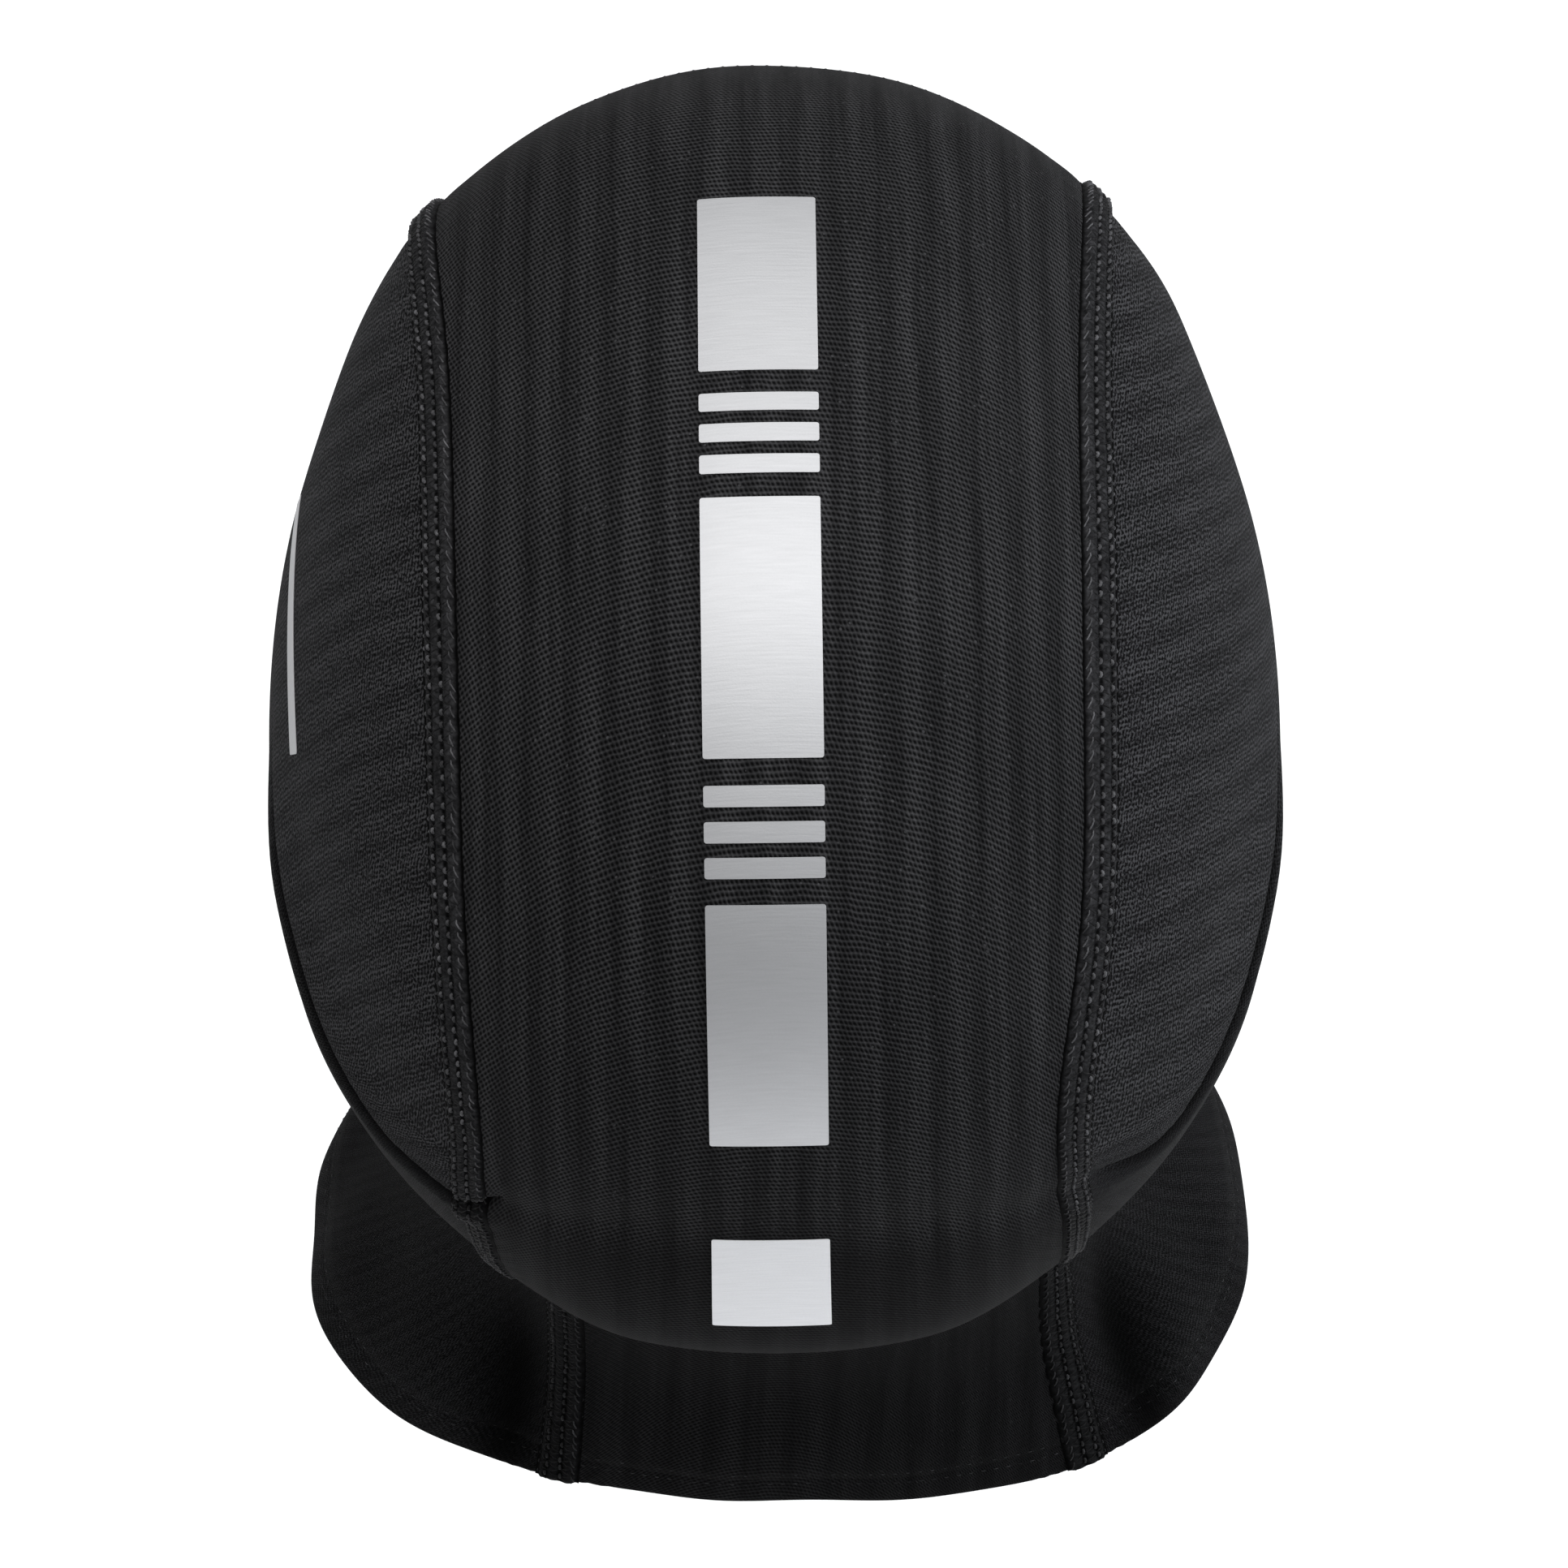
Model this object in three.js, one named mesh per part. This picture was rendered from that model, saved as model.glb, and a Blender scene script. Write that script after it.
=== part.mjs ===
// A thermal hood of stretch knit, as it sits when worn, with its face opening towards -Y.
// Like a real one it is a bent tube of cloth: a centre panel over the crown and down the back,
// two side panels, raised flatlock seams between them, and a turned hem round each opening.
// Millimetres, +Z up. The origin is the inside of the crown, where the hood sits on a head.
import * as THREE from "three";

const CLOTH = 1.5;
const HEM_THICKNESS = 3;
const GAP = 0.3;
const SEAM_WIDTH = 6.9;
const SEAM_RISE = 1.1;
const SEAM_GAP = 0.4;
const PRINT_RISE = 0.35;

// Hoops across the tube from the face opening to the neck opening. Each lies in a plane through
// its crown point on the back line and its throat point on the front line. widest is where, from
// crown to throat, the hoop reaches halfWidth. swept is how far its sides lie behind that plane.
// turned is how far it is turned about the vertical, in degrees: the neck sits a little askew.
// leftSeam and rightSeam are how far the side seams stand from the middle, and steps the mesh steps
// to the next hoop.
const HOOP_COLUMNS =
  "name crownY crownZ throatY throatZ halfWidth widest squareness swept turned leftSeam rightSeam steps";
const HOOP_ROWS = [
  ["face_edge", -87.5, -48.5, -83.5, -203, 58, 0.5, 2.4, 17, 0, 49, 48.5, 2],
  ["face_hem", -78.2, -29.4, -76.5, -217.5, 69.5, 0.5, 2.3, 16, 0, 53, 51.8, 4],
  ["fore", -51, -5.9, -71, -225, 72.5, 0.49, 2.45, 11, 0, 54, 51.6, 4],
  ["crown", -8, 1, -68, -230, 78.7, 0.47, 2.2, 4, 0, 51.4, 49.9, 4],
  ["mid", 38, -3, -66, -234, 81.3, 0.46, 2.15, 0, 0, 50.2, 49.4, 3],
  ["rear", 76, -27, -65, -238, 81, 0.46, 2.1, 0, 0, 49.7, 48.8, 5],
  ["upper", 96, -61, -64, -241, 77.3, 0.46, 2.2, 0, 0, 48.5, 45.3, 8],
  ["occiput", 100, -98, -63.5, -244, 70.5, 0.46, 2.15, 0, 0, 47.6, 46.3, 8],
  ["lower", 91, -137, -63, -247, 62.6, 0.48, 2.2, 0, 0, 45, 46.5, 5],
  ["nape", 70, -171, -63, -250, 60, 0.48, 2.2, 0, 0.5, 41, 46.5, 4],
  ["neck", 56, -205, -63.5, -253, 60.5, 0.48, 2.2, 0, 1, 37, 47.2, 4],
  ["collar", 52, -237, -66, -258, 69, 0.43, 2.25, 0, 1.8, 36.2, 49.2, 3],
  ["neck_hem", 57, -259, -72, -266, 79.5, 0.39, 2.25, 0, 2.4, 36.7, 53.4, 2],
  ["neck_edge", 59.5, -268.8, -76, -275, 84.3, 0.37, 2.32, 0, 2.8, 37, 56, 0],
];
const LOWER_SQUARENESS = 2.2;

// The crease that runs round the back of the head from ear to ear: its height at distances from
// the middle line. The cloth above hangs over it, and the cloth below stands out in a roll.
const CREASE_COLUMNS = "fromMiddle height";
const CREASE_ROWS = [
  [0, -76],
  [25, -84],
  [40, -94.5],
  [50, -100.5],
  [61, -101.5],
  [71, -96],
  [82, -86],
];
// Swellings of the cloth beside that crease: how far above it, how far out, and their spread.
const FOLD_COLUMNS = "above out spread";
const FOLD_ROWS = [
  [9, 1, 6],
  [0, -3, 4.6],
  [-10, 1.6, 6],
];
const CREASE_FADE_TO_MIDDLE = [16, 44];
const CREASE_FADE_TO_EAR = [2, 34];

// Drapes of the neck beside each side seam, by their distance outside the seam.
const DRAPE_COLUMNS = "outside out spread";
const DRAPE_ROWS = [
  [10, -4.5, 7],
  [27, 1.2, 9],
];

// Plain reflective blocks down the back, in mm along it from the face edge. Blocks with bars are a
// ladder of that many short bars. Their middle lies a little to +X of the hood's own.
const BLOCK_WIDTH = 18;
const BLOCK_MIDDLE = 1.6;
const BLOCK_COLUMNS = "name start end bars";
const BLOCK_ROWS = [
  ["block_1", 75, 108, 1],
  ["ladder_1", 112, 126, 3],
  ["block_2", 130, 170, 1],
  ["ladder_2", 174, 188, 3],
  ["block_3", 192, 234.5, 1],
  ["block_4", 257.5, 285, 1],
];
const LADDER_GAP = 2.2;

// The plain reflective bar on the left temple: the stations it runs between, how far outside the
// side seam it starts and ends, and its width.
const TEMPLE_BAR = { from: 2.9, to: 4.4, starts: 57.5, ends: 52.5, width: 4.5 };

function table(columns, rows) {
  const names = columns.split(" ");
  return rows.map((row) =>
    Object.fromEntries(row.map((v, i) => [names[i], v])),
  );
}

const HOOPS = table(HOOP_COLUMNS, HOOP_ROWS);
const CREASE = table(CREASE_COLUMNS, CREASE_ROWS);
const FOLDS = table(FOLD_COLUMNS, FOLD_ROWS);
const DRAPES = table(DRAPE_COLUMNS, DRAPE_ROWS);
const BLOCKS = table(BLOCK_COLUMNS, BLOCK_ROWS);
const hoopIndex = (name) => HOOPS.findIndex((h) => h.name === name);

// A column's value at a station, which runs smoothly through the hoops: 2.5 is halfway from the
// third hoop to the fourth.
function column(name, station) {
  const i = Math.min(Math.max(Math.floor(station), 0), HOOPS.length - 2);
  const f = station - i;
  const b = HOOPS[i][name];
  const c = HOOPS[i + 1][name];
  const a = i > 0 ? HOOPS[i - 1][name] : 2 * b - c;
  const d = i + 2 < HOOPS.length ? HOOPS[i + 2][name] : 2 * c - b;
  const bend = 2 * a - 5 * b + 4 * c - d;
  return b + 0.5 * f * (c - a + f * (bend + f * (3 * (b - c) + d - a)));
}

// Half of a hoop, from the crown point round +X to the throat point, and how far along it each
// point lies.
const OUTLINE_STEPS = 96;
const outlines = new Map();
function outline(station) {
  if (outlines.has(station)) return outlines.get(station);
  const v = (name) => column(name, station);
  const crown = new THREE.Vector3(0, v("crownY"), v("crownZ"));
  const down = new THREE.Vector3(0, v("throatY"), v("throatZ")).sub(crown);
  const behind = new THREE.Vector3(0, -down.z, down.y).normalize();
  const points = [];
  for (let i = 0; i <= OUTLINE_STEPS; i++) {
    const turn = (Math.PI * i) / OUTLINE_STEPS;
    const drop = Math.cos(turn);
    const n = drop > 0 ? v("squareness") : LOWER_SQUARENESS;
    const out = Math.max(Math.sin(turn), 0) ** (2 / n);
    const near = Math.abs(drop) ** (2 / n);
    const widest = v("widest");
    const along =
      drop > 0 ? widest * (1 - near) : widest + (1 - widest) * near;
    points.push(
      crown
        .clone()
        .addScaledVector(down, along)
        .addScaledVector(behind, v("swept") * out * out)
        .setX(v("halfWidth") * out),
    );
  }
  const lengths = [0];
  points.slice(1).forEach((p, i) => {
    lengths.push(lengths[i] + p.distanceTo(points[i]));
  });
  outlines.set(station, { points, lengths });
  return outlines.get(station);
}

// Distances along a hoop from the crown point: to the seam on a side, which is 1 on the left and -1
// on the right, and to the throat point.
function seamArc(station, side) {
  const { points, lengths } = outline(station);
  const seam = column(side > 0 ? "leftSeam" : "rightSeam", station);
  const i = points.findIndex((p) => p.x >= seam);
  const share = (seam - points[i - 1].x) / (points[i].x - points[i - 1].x);
  return THREE.MathUtils.lerp(lengths[i - 1], lengths[i], share);
}
const throatArc = (station) => outline(station).lengths.at(-1);

// The point of the smooth form at a signed distance along a hoop, positive towards +X.
const UPWARDS = new THREE.Vector3(0, 0, 1);
function form(station, arc) {
  const { points, lengths } = outline(station);
  const end = lengths.at(-1);
  const past = Math.abs(arc) > end;
  const reach = past ? 2 * end - Math.abs(arc) : Math.abs(arc);
  const i = Math.min(
    Math.max(lengths.findIndex((l) => l >= reach), 1),
    OUTLINE_STEPS,
  );
  const share = (reach - lengths[i - 1]) / (lengths[i] - lengths[i - 1]);
  const p = points[i - 1].clone().lerp(points[i], share);
  p.x *= (arc < 0 ? -1 : 1) * (past ? -1 : 1);
  const middle = new THREE.Vector3().lerpVectors(points[0], points.at(-1), 0.5);
  const turned = THREE.MathUtils.degToRad(-column("turned", station));
  return p.sub(middle).applyAxisAngle(UPWARDS, turned).add(middle);
}

// The outward direction of a surface, from points a little to each side.
const ALONG = 0.1;
const ACROSS = 1.2;
function outward(surface, station, arc) {
  const across = surface(station, arc + ACROSS).sub(
    surface(station, arc - ACROSS),
  );
  const along = surface(station + ALONG, arc).sub(
    surface(station - ALONG, arc),
  );
  return across.cross(along).normalize();
}

function creaseHeight(fromMiddle) {
  const i = Math.max(
    CREASE.findIndex((c) => c.fromMiddle >= fromMiddle),
    1,
  );
  const [a, b] = [CREASE[i - 1], CREASE[i]];
  const share = (fromMiddle - a.fromMiddle) / (b.fromMiddle - a.fromMiddle);
  return THREE.MathUtils.lerp(a.height, b.height, share);
}

const bump = (distance, spread) => Math.exp(-((distance / spread) ** 2));

// How far folds push the cloth out of the smooth form at a point of it.
const ease = THREE.MathUtils.smoothstep;
function swell(p, station, arc) {
  const fromMiddle = Math.abs(p.x);
  const above = p.z - creaseHeight(fromMiddle);
  const creased =
    ease(fromMiddle, ...CREASE_FADE_TO_MIDDLE) *
    ease(p.y, ...CREASE_FADE_TO_EAR);
  const fold = FOLDS.reduce(
    (sum, f) => sum + f.out * bump(above - f.above, f.spread),
    0,
  );
  const outside = Math.abs(arc) - seamArc(station, Math.sign(arc));
  const draped = ease(station, hoopIndex("neck"), hoopIndex("neck_hem"));
  const drape = DRAPES.reduce(
    (sum, d) => sum + d.out * bump(outside - d.outside, d.spread),
    0,
  );
  return creased * fold + draped * drape;
}

// The outer face of the cloth, and the cloth at a depth inside it.
function skin(station, arc) {
  const p = form(station, arc);
  const n = outward(form, station, arc);
  return p.clone().addScaledVector(n, swell(p, station, arc));
}
function layer(station, arc, depth) {
  return skin(station, arc).addScaledVector(
    outward(skin, station, arc),
    -depth,
  );
}

// The volume that triangles enclose, below zero if they face inwards.
function volume(positions, triangles) {
  const at = (i) => new THREE.Vector3().fromArray(positions, 3 * i);
  let sum = 0;
  for (let t = 0; t < triangles.length; t += 3) {
    const [a, b, c] = triangles.slice(t, t + 3).map(at);
    sum += a.dot(b.cross(c)) / 6;
  }
  return sum;
}

// A closed solid through rows of cloth, each with points on its outer and its inner face. closed
// joins the last row to the first.
function clothSolid(rows, closed) {
  const loops = rows.map((r) => [...r.outer, ...r.inner.toReversed()]);
  const around = loops[0].length;
  const half = around / 2;
  const index = (row, i) => (row % rows.length) * around + (i % around);
  const triangles = [];
  const quad = (a, b, c, d) => triangles.push(a, b, c, a, c, d);
  const spans = closed ? rows.length : rows.length - 1;
  for (let row = 0; row < spans; row++) {
    for (let i = 0; i < around; i++) {
      quad(
        index(row, i),
        index(row, i + 1),
        index(row + 1, i + 1),
        index(row + 1, i),
      );
    }
  }
  for (let i = 0; i < half - 1 && !closed; i++) {
    const [near, far] = [around - 1 - i, around - 2 - i];
    const last = rows.length - 1;
    quad(index(0, near), index(0, far), index(0, i + 1), index(0, i));
    quad(index(last, i), index(last, i + 1), index(last, far), index(last, near));
  }
  const positions = loops.flat().flatMap((p) => p.toArray());
  const geometry = new THREE.BufferGeometry();
  geometry.setAttribute(
    "position",
    new THREE.Float32BufferAttribute(positions, 3),
  );
  const insideOut = volume(positions, triangles) < 0;
  geometry.setIndex(insideOut ? triangles.toReversed() : triangles);
  geometry.computeVertexNormals();
  return geometry;
}

// Evenly spaced values from one to another, in a number of steps.
const spread = (from, to, steps) =>
  Array.from({ length: steps + 1 }, (_, i) => from + ((to - from) * i) / steps);

// Mesh stations from one hoop to another. The first and the last are moved in by a share of a hoop.
const HEM_CLEARANCE = 0.03;
function stationsBetween(from, to, inset) {
  const [first, last] = [hoopIndex(from), hoopIndex(to)];
  const list = HOOPS.slice(first, last).flatMap((h, i) =>
    spread(first + i, first + i + 1, h.steps).slice(0, -1),
  );
  list.push(last);
  list[0] += inset;
  list[list.length - 1] -= inset;
  return list;
}

// A sheet of cloth with mesh points at the arcs given for each station.
function sheet(stations, arcsAt, outerDepth, innerDepth) {
  const rows = stations.map((s) => ({
    outer: arcsAt(s).map((a) => layer(s, a, outerDepth)),
    inner: arcsAt(s).map((a) => layer(s, a, innerDepth)),
  }));
  return clothSolid(rows, false);
}

// Materials: the dull black knit, its slightly paler seam thread, and the silver print.
const knit = new THREE.MeshStandardMaterial({
  color: 0x1b1b1d,
  roughness: 0.92,
  metalness: 0,
});
const thread = new THREE.MeshStandardMaterial({
  color: 0x232325,
  roughness: 0.8,
  metalness: 0,
});
const silver = new THREE.MeshStandardMaterial({
  color: 0xc9c9ce,
  roughness: 0.45,
  metalness: 0.2,
});

const hood = new THREE.Group();
function add(name, geometry, material) {
  const mesh = new THREE.Mesh(geometry, material);
  mesh.name = name;
  hood.add(mesh);
}

// Panels: one over the crown and down the back, and one each side from its seam to the throat.
const PANEL_STATIONS = stationsBetween("face_hem", "neck_hem", HEM_CLEARANCE);
const CENTRE_STEPS = 8;
const SIDE_STEPS = 12;
// Mesh points across a panel that keeps a gap at each seam. The first and last cells lie under
// half of a seam band.
function panelArcs(from, to, steps) {
  const [edge, band] = [GAP / 2, SEAM_WIDTH / 2];
  return [from + edge, ...spread(from + band, to - band, steps - 2), to - edge];
}
add(
  "centre_panel",
  sheet(
    PANEL_STATIONS,
    (s) => panelArcs(-seamArc(s, -1), seamArc(s, 1), CENTRE_STEPS),
    0,
    CLOTH,
  ),
  knit,
);
for (const [side, name] of [
  [1, "side_panel_left"],
  [-1, "side_panel_right"],
]) {
  const arcs = (s) => panelArcs(seamArc(s, side), throatArc(s), SIDE_STEPS);
  add(
    name,
    sheet(PANEL_STATIONS, (s) => arcs(s).map((a) => side * a), 0, CLOTH),
    knit,
  );
}

// Hems: the cloth turned in and doubled round each opening, with a rounded fold at the edge. Their
// mesh points round the hoop are those of the panels, seam by seam. The fold is rounded over a
// share of a hoop, by a depth in millimetres.
const HEM_FOLD = 0.08;
const HEM_ROUNDING = 0.9;
function hemArcs(s) {
  const [left, right] = [1, -1].map((side) => seamArc(s, side));
  const between = (from, to, steps) => panelArcs(from, to, steps).slice(1, -1);
  const rightSide = between(right, throatArc(s), SIDE_STEPS);
  return [
    ...rightSide.map((a) => -a).toReversed(),
    -right,
    ...between(-right, left, CENTRE_STEPS),
    left,
    ...between(left, throatArc(s), SIDE_STEPS),
    throatArc(s),
  ];
}
function hem(name, edge, inside) {
  const [at, to] = [hoopIndex(edge), hoopIndex(inside)];
  const pastFold = at + HEM_FOLD * Math.sign(to - at);
  const profile = [at, pastFold, (at + to) / 2, to].map((station) => ({
    station,
    arcs: hemArcs(station),
    depth: station === at ? HEM_ROUNDING : 0,
  }));
  const rows = profile[0].arcs.map((_, i) => ({
    outer: profile.map((p) => layer(p.station, p.arcs[i], p.depth)),
    inner: profile.map((p) => layer(p.station, p.arcs[i], HEM_THICKNESS - p.depth)),
  }));
  add(name, clothSolid(rows, true), knit);
}
hem("face_hem", "face_edge", "face_hem");
hem("neck_hem", "neck_edge", "neck_hem");

// Flatlock seams: flat bands of thread over the meeting edges, from opening to opening. The shares
// are of the band's width and of its rise.
const SEAM_SHARES = [-0.5, -0.36, 0, 0.36, 0.5];
const SEAM_PROFILE = [0.35, 1, 0.8, 1, 0.35];
const SEAM_CLEARANCE = 0.06;
const SEAM_STATIONS = stationsBetween("face_edge", "neck_edge", SEAM_CLEARANCE);
function seam(name, stations, middle) {
  const rows = stations.map((s) => {
    const arcs = SEAM_SHARES.map((share) => middle(s) + share * SEAM_WIDTH);
    return {
      outer: arcs.map((a, i) => layer(s, a, -SEAM_GAP - SEAM_RISE * SEAM_PROFILE[i])),
      inner: arcs.map((a) => layer(s, a, -SEAM_GAP)),
    };
  });
  add(name, clothSolid(rows, false), thread);
}
seam("seam_left", SEAM_STATIONS, (s) => seamArc(s, 1));
seam("seam_right", SEAM_STATIONS, (s) => -seamArc(s, -1));

// The front seam below the face opening. Between fore and neck its hoops lie close together, so
// every fourth station is enough.
const THROAT_STATIONS = SEAM_STATIONS.filter(
  (s, i) => i % 4 === 0 || s < hoopIndex("fore") || s > hoopIndex("neck"),
);
seam("seam_throat", THROAT_STATIONS, throatArc);

// The station at a distance along the middle of the back from the face edge.
const SPINE_STEP = 0.02;
function stationAt(distance) {
  let [station, gone] = [0, 0];
  let last = form(0, 0);
  while (gone < distance) {
    station += SPINE_STEP;
    const next = form(station, 0);
    gone += next.distanceTo(last);
    last = next;
  }
  return station;
}

// Reflective print: thin blocks and bars on the centre panel, and one bar on the left temple.
const PRINT_CELL = 6;
function block(name, start, end) {
  const steps = Math.max(1, Math.round((end - start) / PRINT_CELL));
  const stations = spread(start, end, steps).map(stationAt);
  const half = BLOCK_WIDTH / 2;
  const arcs = [BLOCK_MIDDLE - half, BLOCK_MIDDLE, BLOCK_MIDDLE + half];
  add(name, sheet(stations, () => arcs, -GAP - PRINT_RISE, -GAP), silver);
}
for (const b of BLOCKS) {
  const bar = (b.end - b.start - LADDER_GAP * (b.bars - 1)) / b.bars;
  for (let i = 0; i < b.bars; i++) {
    const start = b.start + i * (bar + LADDER_GAP);
    block(b.bars > 1 ? `${b.name}_bar_${i + 1}` : b.name, start, start + bar);
  }
}

const BAR_STEPS = 8;
function templeBarArcs(s) {
  const share = (s - TEMPLE_BAR.from) / (TEMPLE_BAR.to - TEMPLE_BAR.from);
  const outside = THREE.MathUtils.lerp(TEMPLE_BAR.starts, TEMPLE_BAR.ends, share);
  const middle = seamArc(s, 1) + outside;
  return spread(-0.5, 0.5, 2).map((w) => middle + w * TEMPLE_BAR.width);
}
const barStations = spread(TEMPLE_BAR.from, TEMPLE_BAR.to, BAR_STEPS);
add("temple_bar", sheet(barStations, templeBarArcs, -GAP - PRINT_RISE, -GAP), silver);

export default hood;
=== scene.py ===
# A thermal hood of black stretch knit, worn on a head that isn't shown, seen from behind and above.
# The axes are the frame's own: +X is the wearer's left, +Y the back of the head and +Z up. The camera,
# the lamps and the floor are in metres. The hood is in millimetres until each of its meshes is made.
import math
import bmesh
import bpy
import numpy as np
from mathutils import Matrix, Vector
from mathutils.kdtree import KDTree


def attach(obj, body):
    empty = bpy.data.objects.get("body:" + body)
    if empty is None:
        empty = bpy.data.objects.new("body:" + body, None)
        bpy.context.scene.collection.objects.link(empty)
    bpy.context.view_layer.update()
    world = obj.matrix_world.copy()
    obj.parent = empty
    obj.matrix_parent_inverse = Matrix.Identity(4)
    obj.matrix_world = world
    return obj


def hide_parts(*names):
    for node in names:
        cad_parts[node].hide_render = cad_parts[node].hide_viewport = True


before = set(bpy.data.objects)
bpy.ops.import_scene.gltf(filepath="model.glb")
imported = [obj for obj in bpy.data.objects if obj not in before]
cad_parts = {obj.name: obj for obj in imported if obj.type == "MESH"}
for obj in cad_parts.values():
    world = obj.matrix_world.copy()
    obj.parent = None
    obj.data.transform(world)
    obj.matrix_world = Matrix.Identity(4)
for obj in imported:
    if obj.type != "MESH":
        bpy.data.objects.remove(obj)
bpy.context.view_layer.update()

# The camera stands behind the hood and looks down on the back of the head, through a long lens
# that hardly narrows the far end. It is rolled by less than a degree.
CAMERA_ELEVATION = math.radians(60)
CAMERA_ROLL = math.radians(-0.8)
CAMERA_DISTANCE = 1.3
CAMERA_TARGET = Vector((-0.0014, 0.020, -0.086))
CAMERA_LENS = 189.0
CAMERA_SENSOR = 36.0
looking = Vector((0, -math.cos(CAMERA_ELEVATION), -math.sin(CAMERA_ELEVATION)))
camera_up = Vector((0, -math.sin(CAMERA_ELEVATION), math.cos(CAMERA_ELEVATION)))
camera_right = looking.cross(camera_up)
roll = Matrix.Rotation(CAMERA_ROLL, 3, -looking)
camera_axes = Matrix((roll @ camera_right, roll @ camera_up, -looking)).transposed()
camera_data = bpy.data.cameras.new("camera")
camera_data.lens = CAMERA_LENS
camera_data.sensor_width = CAMERA_SENSOR
camera_data.clip_end = 20.0
camera = bpy.data.objects.new("camera", camera_data)
camera_place = Matrix.Translation(CAMERA_TARGET - looking * CAMERA_DISTANCE)
camera.matrix_world = camera_place @ camera_axes.to_4x4()
bpy.context.scene.collection.objects.link(camera)
bpy.context.scene.camera = camera
bpy.context.scene.view_settings.view_transform = "Standard"


# The stage is a wide pale floor well below the hood, so that no hard shadow lies beside it, under
# large soft lamps: one overhead, one low behind on each side, and a pale sky.
FLOOR_HEIGHT = -0.62
FLOOR_HALF_WIDTH = 4.0
FLOOR_COLOUR = (0.98, 0.98, 0.98, 1)
FLOOR_MOTTLE_COLOUR = (0.9506, 0.9506, 0.9506, 1)
FLOOR_MOTTLE_SCALE = 3.0
FLOOR_ROUGHNESS = 0.9
SKY_COLOUR = (0.95, 0.97, 1.0, 1)
SKY_STRENGTH = 0.3


def add_node(tree, kind, **settings):
    node = tree.nodes.new(kind)
    for name, value in settings.items():
        setattr(node, name, value)
    return node


def feed(tree, socket, value):
    """Links a socket to another's output, or sets it to a plain value."""
    if isinstance(value, bpy.types.NodeSocket):
        tree.links.new(value, socket)
    else:
        socket.default_value = value


def maths(tree, operation, *values):
    node = add_node(tree, "ShaderNodeMath", operation=operation)
    for socket, value in zip(node.inputs, values):
        feed(tree, socket, value)
    return node.outputs[0]


def noise(tree, place, scale, detail=2.0):
    node = add_node(tree, "ShaderNodeTexNoise")
    feed(tree, node.inputs["Vector"], place)
    node.inputs["Scale"].default_value = scale
    node.inputs["Detail"].default_value = detail
    return node.outputs[0]


def blend_colours(tree, share, first, second):
    node = add_node(tree, "ShaderNodeMix", data_type="RGBA")
    feed(tree, node.inputs[0], share)
    feed(tree, node.inputs[6], first)
    feed(tree, node.inputs[7], second)
    return node.outputs[2]


def new_material(name):
    material = bpy.data.materials.new(name)
    material.use_nodes = True
    tree = material.node_tree
    return material, tree, tree.nodes["Principled BSDF"]


def raise_surface(tree, shader, height, distance, strength=1.0):
    bump = add_node(tree, "ShaderNodeBump")
    bump.inputs["Strength"].default_value = strength
    bump.inputs["Distance"].default_value = distance
    feed(tree, bump.inputs["Height"], height)
    feed(tree, shader.inputs["Normal"], bump.outputs[0])


def floor_material():
    material, tree, shader = new_material("pale_floor")
    place = add_node(tree, "ShaderNodeTexCoord").outputs["Object"]
    mottle = noise(tree, place, FLOOR_MOTTLE_SCALE)
    colour = blend_colours(tree, mottle, FLOOR_MOTTLE_COLOUR, FLOOR_COLOUR)
    feed(tree, shader.inputs["Base Color"], colour)
    shader.inputs["Roughness"].default_value = FLOOR_ROUGHNESS
    return material


floor_shape = bmesh.new()
bmesh.ops.create_grid(floor_shape, x_segments=4, y_segments=4, size=FLOOR_HALF_WIDTH)
bmesh.ops.translate(floor_shape, verts=floor_shape.verts, vec=(0, 0, FLOOR_HEIGHT))
floor_mesh = bpy.data.meshes.new("floor")
floor_shape.to_mesh(floor_mesh)
floor_shape.free()
floor = bpy.data.objects.new("floor", floor_mesh)
floor.data.materials.append(floor_material())
bpy.context.scene.collection.objects.link(floor)

world = bpy.data.worlds.new("pale_sky")
world.use_nodes = True
world.node_tree.nodes["Background"].inputs[0].default_value = SKY_COLOUR
world.node_tree.nodes["Background"].inputs[1].default_value = SKY_STRENGTH
bpy.context.scene.world = world


def soft_lamp(name, place, size, power, colour):
    """A round area lamp that looks at the middle of the hood."""
    lamp_data = bpy.data.lights.new(name, "AREA")
    lamp_data.shape = "DISK"
    lamp_data.size = size
    lamp_data.energy = power
    lamp_data.color = colour
    lamp = bpy.data.objects.new(name, lamp_data)
    lamp.location = place
    lamp.rotation_euler = (HOOD_MIDDLE - Vector(place)).to_track_quat("-Z", "Y").to_euler()
    bpy.context.scene.collection.objects.link(lamp)


HOOD_MIDDLE = Vector((0, 0.02, -0.12))
soft_lamp("overhead_lamp", (0, -0.1, 1.5), size=2.2, power=36, colour=(1.0, 0.99, 0.98))
soft_lamp("right_lamp", (-1.5, 0.1, 0.6), size=1.1, power=24, colour=(0.93, 0.96, 1.0))
soft_lamp("left_lamp", (1.5, 0.1, 0.6), size=1.1, power=5, colour=(1.0, 0.99, 0.97))


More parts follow.
